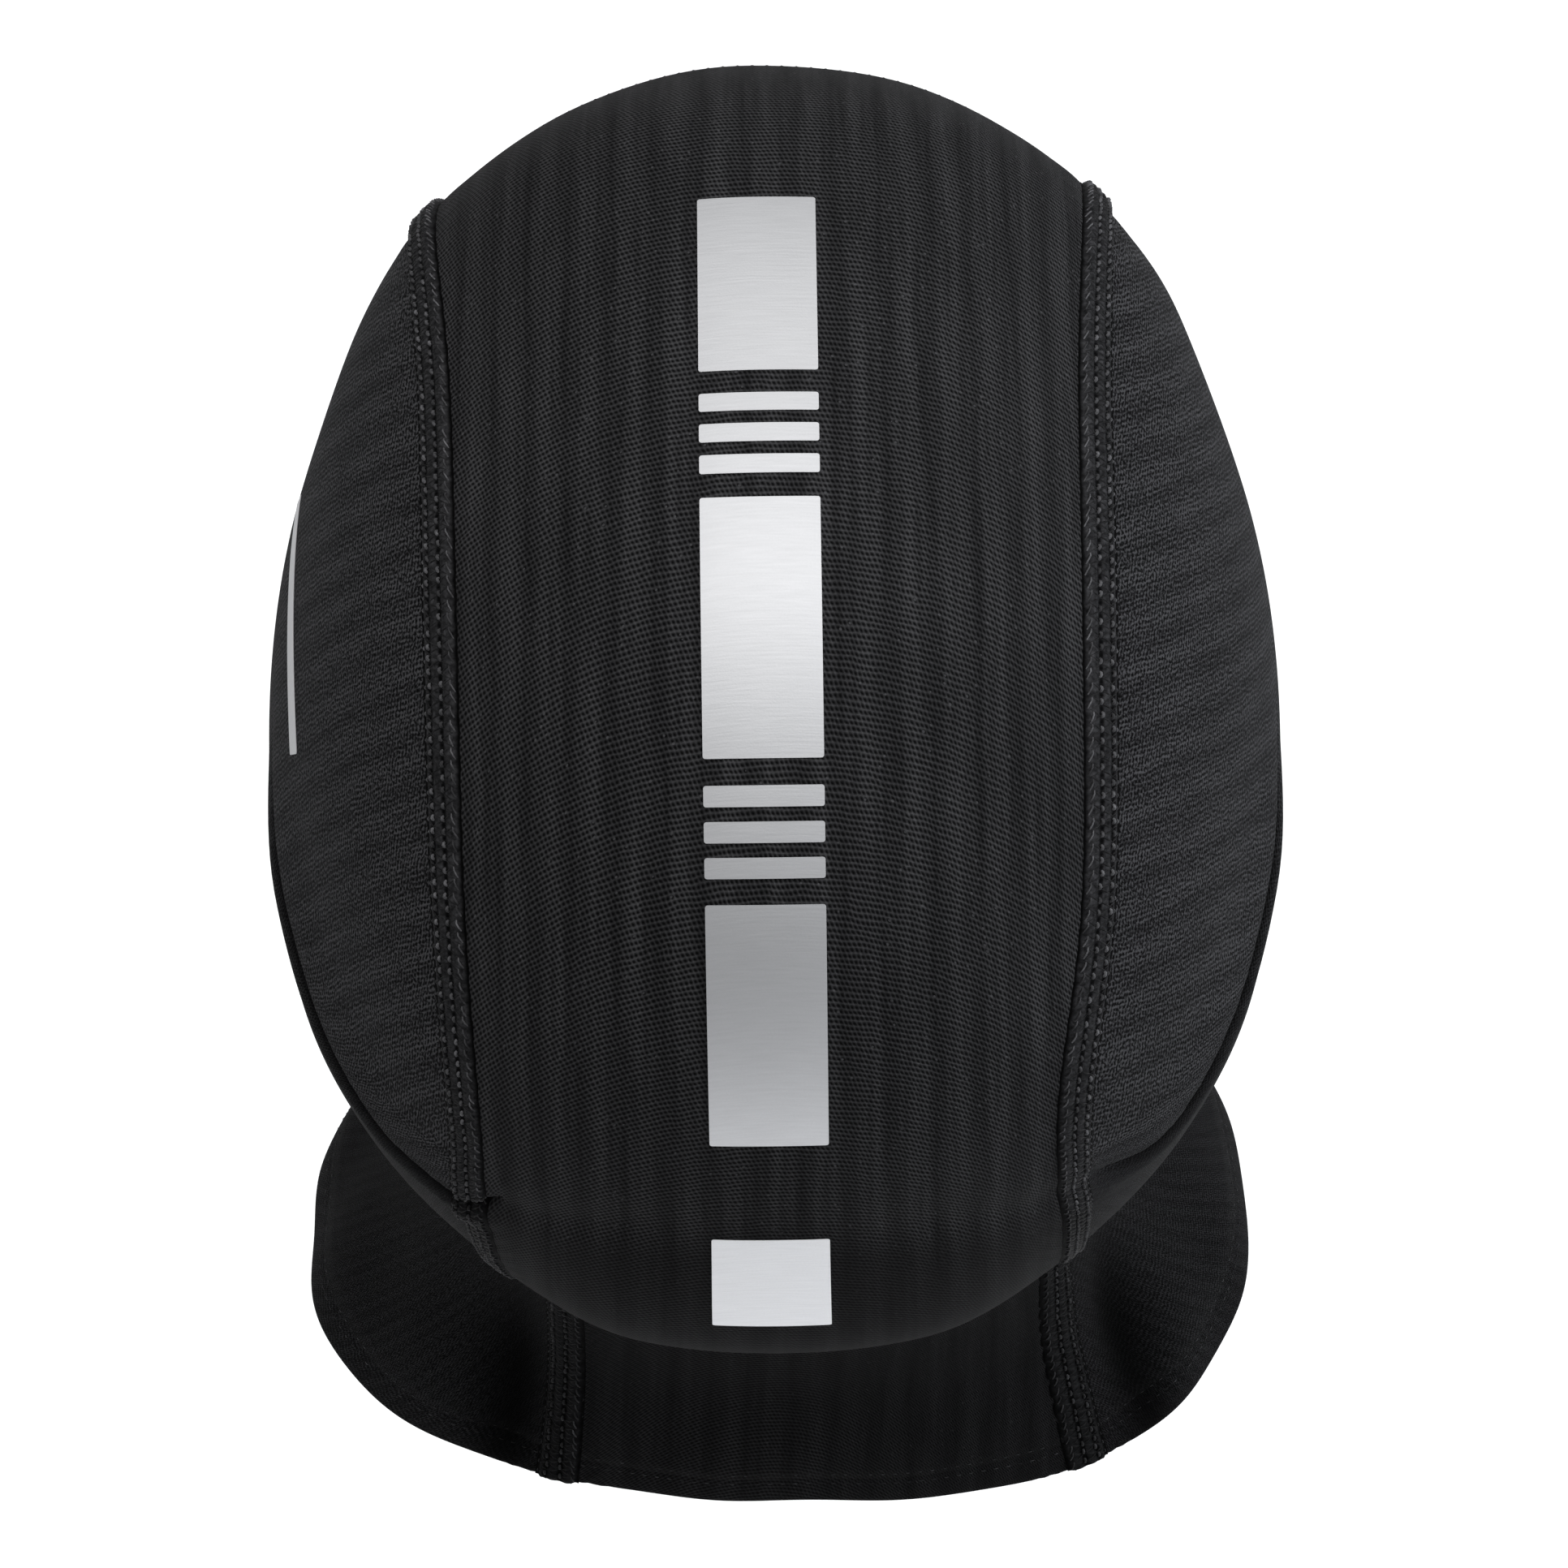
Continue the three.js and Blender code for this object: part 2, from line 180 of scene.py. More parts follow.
# The centre panel is one piece of knit from the brow over the crown and down the back to the neck.
# It is brushed stretch jersey about 1.2 mm thick. Pulled over the head it lies smooth, but for one
# crease from ear to ear across the nape, where the cloth above hangs over the cloth below.
MM = 0.001
BODY = "root"
HOOP_COLUMNS = (
    "crown_y", "crown_z", "throat_y", "throat_z", "half_width",
    "widest", "squareness", "swept", "turned", "left_seam", "right_seam",
)
HOOP_NAMES = (
    "face_edge", "face_hem", "fore", "crown", "mid", "rear", "upper",
    "occiput", "lower", "nape", "neck", "collar", "neck_hem", "neck_edge",
)
HOOPS = np.array([
    [-87.5, -48.5, -83.5, -203, 58, 0.5, 2.4, 17, 0, 49, 48.5],
    [-78.2, -29.4, -76.5, -217.5, 69.5, 0.5, 2.3, 16, 0, 53, 51.8],
    [-51, -5.9, -71, -225, 72.5, 0.49, 2.45, 11, 0, 54, 51.6],
    [-8, 1, -68, -230, 78.7, 0.47, 2.2, 4, 0, 51.4, 49.9],
    [38, -3, -66, -234, 81.3, 0.46, 2.15, 0, 0, 50.2, 49.4],
    [76, -27, -65, -238, 81, 0.46, 2.1, 0, 0, 49.7, 48.8],
    [96, -61, -64, -241, 77.3, 0.46, 2.2, 0, 0, 48.5, 45.3],
    [100, -98, -63.5, -244, 70.5, 0.46, 2.15, 0, 0, 47.6, 46.3],
    [91, -137, -63, -247, 62.6, 0.48, 2.2, 0, 0, 45, 46.5],
    [70, -171, -63, -250, 60, 0.48, 2.2, 0, 0.5, 41, 46.5],
    [56, -205, -63.5, -253, 60.5, 0.48, 2.2, 0, 1, 37, 47.2],
    [52, -237, -66, -258, 69, 0.43, 2.25, 0, 1.8, 36.2, 49.2],
    [57, -259, -72, -266, 79.5, 0.39, 2.25, 0, 2.4, 36.7, 53.4],
    [59.5, -268.8, -76, -275, 84.3, 0.37, 2.32, 0, 2.8, 37, 56],
])
HOOP_POINTS = 241
LOWER_SQUARENESS = 2.2
LAST_HOOP = len(HOOPS) - 1
CLOTH = 1.2
SEAM_JOIN = 0.2

# The crease: its height at distances from the middle line, and where it begins behind the ears.
# At the sides, from about the seams outwards, it is a full fold: a lip that hangs over a groove with
# a roll of cloth below it. On the centre panel it is only a soft hollow.
CREASE_FROM_MIDDLE = (0, 25, 40, 50, 61, 71, 82)
CREASE_HEIGHTS = (-76, -84, -94, -98.5, -98.8, -93, -82.5)
CREASE_FADE_TO_EAR = (2, 34)
LEFT_FOLD_STARTS = (42, 50)
RIGHT_FOLD_STARTS = (47, 59)
FOLD_TURNS = (-1.0, 0.6)
LIP_OUT = 1.7
LIP_SPREAD = 8.0
LIP_DROP = 3.0
LIP_DROP_SPREAD = 6.0
GROOVE_DEPTH = 4.6
GROOVE_BELOW = 1.0
GROOVE_SPREAD = 2.3
GROOVE_TUCK_SPREAD = 2.5
ROLL_OUT = 2.0
ROLL_BELOW = 8.5
ROLL_SPREAD = 4.6
HOLLOW_STARTS = (6, 34)
HOLLOW_DEPTH = 1.0
HOLLOW_BELOW = 2.0
HOLLOW_SPREAD = 5.0

# Drapes of the neck beside each side seam: distance outside the seam, how far out, and spread. They
# grow below the nape and die away towards the hem, and on the right stand further from the seam.
DRAPES = ((10, -4.5, 7), (27, 1.2, 9))
DRAPES_GROW = (9.8, 11.6)
DRAPES_DIE = (11.4, 13)
RIGHT_DRAPE_FURTHER = 4.0

# The back of the head is fuller than the smooth form just above the nape, between the seams.
NAPE_OUT = 4.2
NAPE_HEIGHT = -124.0
NAPE_SPREAD = 30.0
NAPE_ENDS = (22, 52)

# The neck's edge is not even all round: side, distance outside the seam, how far out, and spread.
NECK_LOBES = ((-1, 32, -3.2, 14), (-1, 108, -3.5, 13), (1, 72, -1.2, 12), (1, 106, -3.5, 14))
NECK_LOBES_GROW = (9.0, 10.6)

# Small puckers beside the stitching, and slow waves in the hems, which are stretched least.
PUCKER_OUT = 0.13
PUCKER_PITCH = 5.2
PUCKER_SLANT = 0.03
PUCKER_FROM_SEAM = 6.0
PUCKER_SPREAD = 3.5
FACE_WAVE_OUT = 0.2
FACE_WAVE_SPREAD = 2
NECK_WAVE_OUT = 0.25
WAVE_LENGTH = 38.0
WAVE_CHANGES_OVER = 23.0


def hoop_column(name, station):
    """A column's value at stations, which run smoothly through the hoops from 0 to LAST_HOOP."""
    values = HOOPS[:, HOOP_COLUMNS.index(name)]
    before = 2 * values[0] - values[1]
    after = 2 * values[-1] - values[-2]
    padded = np.concatenate([[before], values, [after]])
    i = np.clip(np.floor(station).astype(int), 0, LAST_HOOP - 1)
    f = station - i
    a, b, c, d = (padded[i + k] for k in range(4))
    bend = 2 * a - 5 * b + 4 * c - d
    return b + 0.5 * f * (c - a + f * (bend + f * (3 * (b - c) + d - a)))


def half_hoops(stations):
    """Points of each hoop from its crown point round +X to its throat point, and their distances."""
    turn = np.linspace(0, math.pi, HOOP_POINTS)
    v = {name: hoop_column(name, stations)[:, None] for name in HOOP_COLUMNS}
    drop = np.cos(turn)
    power = 2 / np.where(drop > 0, v["squareness"], LOWER_SQUARENESS)
    out = np.clip(np.sin(turn), 0, None) ** power
    near = np.abs(drop) ** power
    above = v["widest"] * (1 - near)
    below = v["widest"] + (1 - v["widest"]) * near
    along = np.where(drop > 0, above, below)
    down_y = v["throat_y"] - v["crown_y"]
    down_z = v["throat_z"] - v["crown_z"]
    length = np.hypot(down_y, down_z)
    back = v["swept"] * out**2
    x = v["half_width"] * out
    y = v["crown_y"] + down_y * along - down_z / length * back
    z = v["crown_z"] + down_z * along + down_y / length * back
    points = np.stack([x, y, z], -1)
    steps = np.linalg.norm(np.diff(points, axis=1), axis=2)
    lengths = np.concatenate([np.zeros((len(stations), 1)), np.cumsum(steps, axis=1)], axis=1)
    return points, lengths


def ease(value, start, end):
    """A soft step from 0 at the start to 1 at the end."""
    share = np.clip((value - start) / (end - start), 0, 1)
    return share * share * (3 - 2 * share)


def swelling(distance, spread):
    """A soft swelling: 1 at no distance, and dying away over its spread."""
    return np.exp(-((distance / spread) ** 2))


def directions(points):
    """Outward directions of a grid of points, and unit vectors across it and along it."""
    across = np.gradient(points, axis=1)
    along = np.gradient(points, axis=0)
    outward = np.cross(across, along)
    return [g / np.linalg.norm(g, axis=2, keepdims=True) for g in (outward, across, along)]


# A fine chart of the cloth: one row per station, one column per share of the way round a hoop,
# from the throat over -X, the crown (0) and +X back to the throat, with a little past each end.
CHART_STEP = 0.02
CHART_REACH = 1.02
CHART_COLUMNS = 1225
chart_stations = np.arange(0, LAST_HOOP + CHART_STEP / 2, CHART_STEP)
chart_shares = np.linspace(-CHART_REACH, CHART_REACH, CHART_COLUMNS)
hoop_points, hoop_lengths = half_hoops(chart_stations)
throat_arcs = hoop_lengths[:, -1]


def arcs_to_seam(column):
    """The distance along each hoop from the crown point to a seam."""
    crown_to_widest = hoop_points.shape[1] // 2
    reaches = hoop_column(column, chart_stations)
    return np.array([
        np.interp(reach, points[:crown_to_widest, 0], lengths[:crown_to_widest])
        for reach, points, lengths in zip(reaches, hoop_points, hoop_lengths)
    ])


left_seam_arcs = arcs_to_seam("left_seam")
right_seam_arcs = arcs_to_seam("right_seam")


def throat_arc(station):
    return np.interp(station, chart_stations, throat_arcs)


def seam_arc(station, side):
    """The distance from the crown point to a side seam: side is 1 on the left or -1 on the right."""
    left = np.interp(station, chart_stations, left_seam_arcs)
    right = np.interp(station, chart_stations, right_seam_arcs)
    return np.where(np.asarray(side) > 0, left, right)


def smooth_form():
    """The outer face of the cloth without its folds: the chart's points on the turned hoops."""
    reach = np.abs(chart_shares)
    past = reach > 1
    reach = np.where(past, 2 - reach, reach)
    side = np.sign(chart_shares) * np.where(past, -1, 1)
    rows = []
    for points, lengths in zip(hoop_points, hoop_lengths):
        columns = [np.interp(reach * lengths[-1], lengths, points[:, k]) for k in range(3)]
        rows.append(np.stack([columns[0] * side, columns[1], columns[2]], -1))
    form = np.array(rows)
    middle = (hoop_points[:, 0] + hoop_points[:, -1])[:, None] / 2
    turned = np.radians(-hoop_column("turned", chart_stations))[:, None]
    x = form[..., 0] - middle[..., 0]
    y = form[..., 1] - middle[..., 1]
    form[..., 0] = x * np.cos(turned) - y * np.sin(turned) + middle[..., 0]
    form[..., 1] = x * np.sin(turned) + y * np.cos(turned) + middle[..., 1]
    return form


def above_crease(points):
    """How far points are above the crease."""
    return points[..., 2] - np.interp(np.abs(points[..., 0]), CREASE_FROM_MIDDLE, CREASE_HEIGHTS)


def folded_at(points):
    """How fully the crease is folded at points, from 0 on the centre panel to 1 at the sides."""
    return ease(points[..., 0], *LEFT_FOLD_STARTS) + ease(-points[..., 0], *RIGHT_FOLD_STARTS)


def behind_ear_at(points):
    """The share of the crease that is left at points, as it fades away towards the ears."""
    return ease(points[..., 1], *CREASE_FADE_TO_EAR)


def hang_cloth(form, travel):
    """The smooth form with its crease, drapes and lobes, the pull of the seams and the hems' waves."""
    outward, across, along = directions(form)
    station = chart_stations[:, None]
    arcs = chart_shares[None, :] * throat_arcs[:, None]
    above = above_crease(form)
    from_middle = np.abs(form[..., 0])
    folded = folded_at(form)
    behind_ears = behind_ear_at(form)
    upper = ease(above, *FOLD_TURNS)
    lip = LIP_OUT * swelling(above, LIP_SPREAD)
    lower = ROLL_OUT * swelling(above + ROLL_BELOW, ROLL_SPREAD)
    lower -= GROOVE_DEPTH * swelling(above + GROOVE_BELOW, GROOVE_SPREAD)
    fold = upper * lip + (1 - upper) * lower
    drop = upper * LIP_DROP * swelling(above, LIP_DROP_SPREAD)
    drop -= (1 - upper) * swelling(above + GROOVE_BELOW, GROOVE_TUCK_SPREAD)
    hollow = HOLLOW_DEPTH * ease(from_middle, *HOLLOW_STARTS) * (1 - folded)
    creased = folded * fold - hollow * swelling(above + HOLLOW_BELOW, HOLLOW_SPREAD)
    outside = np.abs(arcs) - seam_arc(station, np.sign(arcs))
    draped = ease(station, *DRAPES_GROW) * (1 - ease(station, *DRAPES_DIE))
    beside = outside - RIGHT_DRAPE_FURTHER * (arcs < 0)
    drape = sum(out * swelling(beside - at, spread) for at, out, spread in DRAPES)
    lobe = sum(
        out * swelling(outside - at, spread) * (np.sign(arcs) == side)
        for side, at, out, spread in NECK_LOBES
    )
    pucker = PUCKER_OUT * np.sin(2 * math.pi * travel / PUCKER_PITCH + PUCKER_SLANT * arcs)
    pucker *= swelling(np.abs(outside) - PUCKER_FROM_SEAM, PUCKER_SPREAD)
    wave = np.sin(2 * math.pi * arcs / WAVE_LENGTH) * np.cos(arcs / WAVE_CHANGES_OVER)
    by_face = FACE_WAVE_OUT * swelling(station, FACE_WAVE_SPREAD)
    by_neck = NECK_WAVE_OUT * ease(station, *DRAPES_GROW)
    out = behind_ears * creased + draped * drape + pucker + (by_face + by_neck) * wave
    out += lobe * ease(station, *NECK_LOBES_GROW)
    nape = (form[..., 1] > 0) * swelling(form[..., 2] - NAPE_HEIGHT, NAPE_SPREAD)
    out += NAPE_OUT * nape * (1 - ease(from_middle, *NAPE_ENDS))
    slide = behind_ears * folded * drop + by_neck * wave
    return form + outward * out[..., None] + along * slide[..., None]


form_chart = smooth_form()
steps_along = np.linalg.norm(np.diff(form_chart, axis=0), axis=2)
chart_travel = np.concatenate([np.zeros((1, steps_along.shape[1])), np.cumsum(steps_along, axis=0)])
cloth_chart = hang_cloth(form_chart, chart_travel)
outward_chart = directions(cloth_chart)[0]


def read_chart(chart, station, arc):
    """Values of a chart between its grid points, at stations and at distances round the hoop."""
    row = np.clip(station / CHART_STEP, 0, len(chart_stations) - 1.001)
    share = arc / throat_arc(station)
    column = (share + CHART_REACH) / (2 * CHART_REACH) * (len(chart_shares) - 1)
    column = np.clip(column, 0, len(chart_shares) - 1.001)
    i = row.astype(int)
    j = column.astype(int)
    f = (row - i)[..., None]
    g = (column - j)[..., None]
    values = chart if chart.ndim == 3 else chart[..., None]
    first = values[i, j] * (1 - g) + values[i, j + 1] * g
    second = values[i + 1, j] * (1 - g) + values[i + 1, j + 1] * g
    return first * (1 - f) + second * f


def on_cloth(station, arc, lift=0.0):
    """Points on the outer face of the cloth, or raised off it by a lift."""
    outward = read_chart(outward_chart, station, arc)
    outward /= np.linalg.norm(outward, axis=-1, keepdims=True)
    return read_chart(cloth_chart, station, arc) + outward * np.asarray(lift)[..., None]


def knit_place(station, arc):
    """Where a point of the cloth lies on the flat knit: across its wales and along them."""
    return np.stack([arc, read_chart(chart_travel, station, arc)[..., 0]], -1)


# The side panels' knit crosses the side of the head on one slant. Below the crease it follows the
# cloth down the neck, and the two are set level with each other by the crease, outside the seams.
SIDE_SLANT = math.radians(60)
SIDE_KNIT_TURNS = (-10, 20)
LEVEL_WITHIN = 3
LEVEL_OUTSIDE = 50


def side_rise(points):
    """How far points lie up the slant of the side panels' knit."""
    return points[..., 2] * math.cos(SIDE_SLANT) - points[..., 1] * math.sin(SIDE_SLANT)


at_crease = np.abs(above_crease(form_chart)) < LEVEL_WITHIN
at_side = np.abs(form_chart[..., 0]) > LEVEL_OUTSIDE
SIDE_LEVEL = np.mean((side_rise(form_chart) + chart_travel)[at_crease & at_side])


def side_knit_place(station, arc):
    """Where a point of a side panel lies on its flat knit: across its wales and along them."""
    points = read_chart(form_chart, station, arc)
    rise = side_rise(points)
    down = SIDE_LEVEL - read_chart(chart_travel, station, arc)[..., 0]
    return np.stack([arc, rise + (down - rise) * ease(-above_crease(points), *SIDE_KNIT_TURNS)], -1)


# Painted shade: the cloth's colour is darkened below the crease and down the neck, under the head.
# It is darker still in the valleys beside the neck's seams, and darkest in the groove of the crease.
FOLD_SHADE = 0.45
FOLD_SHADE_FULL = 14.0
NECK_SHADE = 0.88
NECK_SHADE_SPAN = (8.2, 9.8)
VALLEY_SHADE = 0.1
GROOVE_SHADE_DOWN = 3.8
GROOVE_SHADE_SPREAD = 3.9


def painted_cloth_shade(station, arc):
    """The painted shade of the cloth at points, from 0 in the groove to 1 on the crown."""
    points = read_chart(form_chart, station, arc)
    above = above_crease(points)
    fold = 1 - (1 - FOLD_SHADE) * ease(-above, 0, FOLD_SHADE_FULL)
    groove = folded_at(points) * behind_ear_at(points)
    fold *= 1 - groove * swelling(above + GROOVE_SHADE_DOWN, GROOVE_SHADE_SPREAD)
    neck = 1 - (1 - NECK_SHADE) * ease(station, *NECK_SHADE_SPAN)
    beside = np.abs(arc) - seam_arc(station, np.sign(arc)) - RIGHT_DRAPE_FURTHER * (arc < 0)
    valley = ease(station, *DRAPES_GROW) * swelling(beside - DRAPES[0][0], DRAPES[0][2])
    return fold * neck * (1 - (1 - VALLEY_SHADE) * valley)


def new_piece(name, mesh, material, slot, *nodes):
    """A piece in the scene, with its finish, that rides on the body in place of its CAD nodes."""
    piece = bpy.data.objects.new(name, mesh)
    bpy.context.scene.collection.objects.link(piece)
    piece.data.materials.append(material)
    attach(piece, BODY)
    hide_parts(*nodes)
    return piece


def mapped_grid(name, columns, rows, place, size=(1, 1), corner=0, sharp_rim=False):
    """A mesh grid of a size, with its corners rounded, laid where place(across, along) puts it."""
    shape = bmesh.new()
    bmesh.ops.create_grid(shape, x_segments=columns, y_segments=rows, size=0.5)
    bmesh.ops.translate(shape, verts=shape.verts, vec=(0.5, 0.5, 0))
    bmesh.ops.scale(shape, verts=shape.verts, vec=(size[0], size[1], 1))
    if corner:
        bmesh.ops.bevel(
            shape, geom=[v for v in shape.verts if len(v.link_edges) == 2], offset=corner,
            segments=4, profile=0.5, affect="VERTICES", material=-1,
        )
    for edge in shape.edges:
        edge.smooth = not (sharp_rim and edge.is_boundary)
    for face in shape.faces:
        face.smooth = True
    mesh = bpy.data.meshes.new(name)
    shape.to_mesh(mesh)
    shape.free()
    flat = np.empty(3 * len(mesh.vertices))
    mesh.vertices.foreach_get("co", flat)
    across, along = flat.reshape(-1, 3)[:, :2].T
    points, knit, shade = place(across, along)
    mesh.vertices.foreach_set("co", (points * MM).ravel())
    corners = np.empty(len(mesh.loops), int)
    mesh.loops.foreach_get("vertex_index", corners)
    mesh.uv_layers.new(name="knit").data.foreach_set("uv", (knit[corners] * MM).ravel())
    mesh.attributes.new("shade", "FLOAT", "POINT").data.foreach_set("value", shade)
    mesh.update()
    return mesh


def add_wall(piece, thickness):
    """Gives a sheet its thickness, inwards from its outer face."""
    wall = piece.modifiers.new("wall", "SOLIDIFY")
    wall.thickness = thickness * MM
    wall.offset = -1


# The rows of a panel's mesh follow the crease, and are closest together there.
PANEL_OVER_HEM = 0.3
PANEL_FROM = HOOP_NAMES.index("face_hem") - PANEL_OVER_HEM
PANEL_TO = HOOP_NAMES.index("neck_hem") + PANEL_OVER_HEM
PANEL_ROWS = 400
CREASE_ROW = 0.56
CREASE_CLOSENESS = 0.4
CREASE_SEARCH = (3.7, 8.0)
CREASE_SAMPLES = 81
CREASE_SMOOTHED_OVER = 9
spine_travel = chart_travel[:, len(chart_shares) // 2]


def crease_stations(arcs_at, shares):
    """The stations of the crease at shares of a panel's width, held on past the crease's end."""
    stations = np.arange(*CREASE_SEARCH, CHART_STEP)
    found = []
    for share in shares:
        arc = arcs_at(stations, np.full(len(stations), share))
        over = above_crease(read_chart(form_chart, stations, arc)) > 0
        found.append(stations[over].max() if over.any() else stations[0])
    window = np.ones(CREASE_SMOOTHED_OVER) / CREASE_SMOOTHED_OVER
    held_on = np.pad(found, CREASE_SMOOTHED_OVER // 2, mode="edge")
    return np.convolve(held_on, window, mode="valid")


def panel_stations(arcs_at, across, along):
    """Stations of a panel's mesh points, with one row of them along the crease."""
    shares = np.linspace(0, 1, CREASE_SAMPLES)
    crease = np.interp(across, shares, crease_stations(arcs_at, shares))
    start, here, end = (
        np.interp(station, chart_stations, spine_travel) for station in (PANEL_FROM, crease, PANEL_TO)
    )
    over = np.clip(1 - along / CREASE_ROW, 0, 1)
    under = np.clip((along - CREASE_ROW) / (1 - CREASE_ROW), 0, 1)
    closer = [u * (CREASE_CLOSENESS + (1 - CREASE_CLOSENESS) * u * u) for u in (over, under)]
    travel = here - closer[0] * (here - start) + closer[1] * (end - here)
    return np.interp(travel, spine_travel, chart_stations)


def knit_panel(name, node, columns, arcs_at, material, knit_at, turned):
    """A panel of cloth between two distances round each hoop, with its wall turned inwards."""

    def place(across, along):
        station = panel_stations(arcs_at, across, along)
        arc = arcs_at(station, across)
        return on_cloth(station, arc), knit_at(station, arc), painted_cloth_shade(station, arc)

    mesh = mapped_grid(name, columns, PANEL_ROWS, place)
    if turned:
        mesh.flip_normals()
    piece = new_piece(name, mesh, material, "knit", node)
    add_wall(piece, CLOTH)
    return piece


# Knit, in plain jersey: rows of slanted strands with small dark holes between them. The pitches are
# those of the stretched cloth. Its yarn is heathered in streaks, with cloudy patches, fuzz and lint.
CENTRE_YARN = (0.036, 0.036, 0.0377, 1)
KNIT_GAP = (0.0003, 0.0003, 0.0004, 1)
CENTRE_PITCHES = (0.72, 0.93)
CENTRE_STREAK = (1.3, 30)
CENTRE_COLUMNS = 104
LEAN = 0.5
WANDER_SCALE = 260.0
HOLE_ROUNDING = 0.6
HOLE_DARKENS = 0.97
STRAND_EDGE_DARKENS = 0.25
RIB_PITCH = 7.0
RIB_DEPTH = 0.4
HEATHER_SPAN = (1.1, 0.25)
CLOUD_SCALE = 28.0
CLOUD_SPAN = (0.5, 0.75)
FUZZ_SCALE = 2100.0
FUZZ_LEAST = 0.1
LINT_COLOUR = (0.06, 0.06, 0.063, 1)
LINT_SCALE = 420.0
LINT_SIZE = 0.09
LINT_SHARE = 0.45
KNIT_ROUGHNESS = 0.85
KNIT_SPECULAR = 0.03
KNIT_SHEEN = 0.005
KNIT_SHEEN_ROUGHNESS = 0.5
KNIT_RELIEF = 0.16
KNIT_RELIEF_STRENGTH = 0.8


def darken(tree, share, colour):
    """A colour, made darker by a share from 0 to 1."""
    return blend_colours(tree, share, (0, 0, 0, 1), colour)


def humps(tree, place):
    """A smooth wave from 0 to 1 and back for each unit of a place."""
    wave = maths(tree, "COSINE", maths(tree, "MULTIPLY", place, 2 * math.pi))
    return maths(tree, "MULTIPLY_ADD", wave, 0.5, 0.5)


def knit_material(name, yarn, pitches, turned, rib_way, streak, unruly, row_depth, grain):
    """Jersey knit: slanted strands round dark holes, heathered in streaks, with soft ribs.

    The pitches are of its wales and its courses, and a streak's size is across and along. The knit is
    turned by some degrees, its ribs lie across it (0) or along it (1), and unruly is how far its
    stitches wander. Row depth and grain are how dark its rows and its fuzz are.
    """
    material, tree, shader = new_material(name)
    flat = add_node(tree, "ShaderNodeUVMap", uv_map="knit").outputs[0]
    turn = add_node(tree, "ShaderNodeMapping")
    turn.inputs["Rotation"].default_value = (0, 0, math.radians(turned))
    feed(tree, turn.inputs["Vector"], flat)
    wander = add_node(tree, "ShaderNodeTexNoise")
    feed(tree, wander.inputs["Vector"], turn.outputs[0])
    wander.inputs["Scale"].default_value = WANDER_SCALE
    parts = add_node(tree, "ShaderNodeSeparateXYZ")
    feed(tree, parts.inputs[0], turn.outputs[0])
    drift = add_node(tree, "ShaderNodeSeparateXYZ")
    feed(tree, drift.inputs[0], wander.outputs[1])
    across, along = (
        maths(tree, "MULTIPLY_ADD", parts.outputs[k], 1 / (pitch * MM),
              maths(tree, "MULTIPLY", drift.outputs[k], unruly))
        for k, pitch in enumerate(pitches)
    )
    between_strands = humps(tree, maths(tree, "MULTIPLY_ADD", along, LEAN, across))
    hole = maths(tree, "MULTIPLY", between_strands, humps(tree, along))
    hole = maths(tree, "POWER", hole, HOLE_ROUNDING)
    strand = maths(tree, "MULTIPLY_ADD", between_strands, -STRAND_EDGE_DARKENS, 1)
    row = maths(tree, "MULTIPLY_ADD", humps(tree, along), -row_depth, 1)
    loops = maths(tree, "MULTIPLY", maths(tree, "MULTIPLY_ADD", hole, -HOLE_DARKENS, 1), strand)
    loops = maths(tree, "MULTIPLY", loops, row)
    rib = humps(tree, maths(tree, "MULTIPLY", parts.outputs[rib_way], 1 / (RIB_PITCH * MM)))
    rib = maths(tree, "MULTIPLY_ADD", rib, RIB_DEPTH, 1 - RIB_DEPTH / 2)
    long_way = add_node(tree, "ShaderNodeMapping")
    long_way.inputs["Scale"].default_value = (1000 / streak[0], 1000 / streak[1], 1)
    feed(tree, long_way.inputs["Vector"], turn.outputs[0])
    heather = noise(tree, long_way.outputs[0], 1.0, 3.0)
    cloudy = noise(tree, flat, CLOUD_SCALE, 2.0)
    shade = maths(tree, "MULTIPLY_ADD", heather, *HEATHER_SPAN)
    shade = maths(tree, "MULTIPLY", shade, maths(tree, "MULTIPLY_ADD", cloudy, *CLOUD_SPAN))
    fuzz = maths(tree, "MULTIPLY_ADD", noise(tree, flat, FUZZ_SCALE, 1.0), grain, 1 - grain / 2)
    shade = maths(tree, "MULTIPLY", shade, maths(tree, "MAXIMUM", fuzz, FUZZ_LEAST))
    shade = maths(tree, "MULTIPLY", maths(tree, "MULTIPLY", shade, rib), loops)
    speck = add_node(tree, "ShaderNodeTexVoronoi")
    feed(tree, speck.inputs["Vector"], flat)
    speck.inputs["Scale"].default_value = LINT_SCALE
    lint = maths(tree, "LESS_THAN", speck.outputs["Distance"], LINT_SIZE)
    lint = maths(tree, "MULTIPLY", lint, LINT_SHARE)
    colour = blend_colours(tree, lint, blend_colours(tree, shade, KNIT_GAP, yarn), LINT_COLOUR)
    # The mesh's shade attribute is painted shade, which darkens the colour.
    painted_shade = add_node(tree, "ShaderNodeAttribute", attribute_name="shade").outputs["Fac"]
    feed(tree, shader.inputs["Base Color"], darken(tree, painted_shade, colour))
    shader.inputs["Roughness"].default_value = KNIT_ROUGHNESS
    shader.inputs["Specular IOR Level"].default_value = KNIT_SPECULAR
    shader.inputs["Sheen Weight"].default_value = KNIT_SHEEN
    shader.inputs["Sheen Roughness"].default_value = KNIT_SHEEN_ROUGHNESS
    raise_surface(tree, shader, loops, KNIT_RELIEF * MM, KNIT_RELIEF_STRENGTH)
    return material


centre_knit = knit_material(
    "centre_knit", CENTRE_YARN, CENTRE_PITCHES, turned=0, rib_way=0, streak=CENTRE_STREAK,
    unruly=0.9, row_depth=0.45, grain=1.2,
)


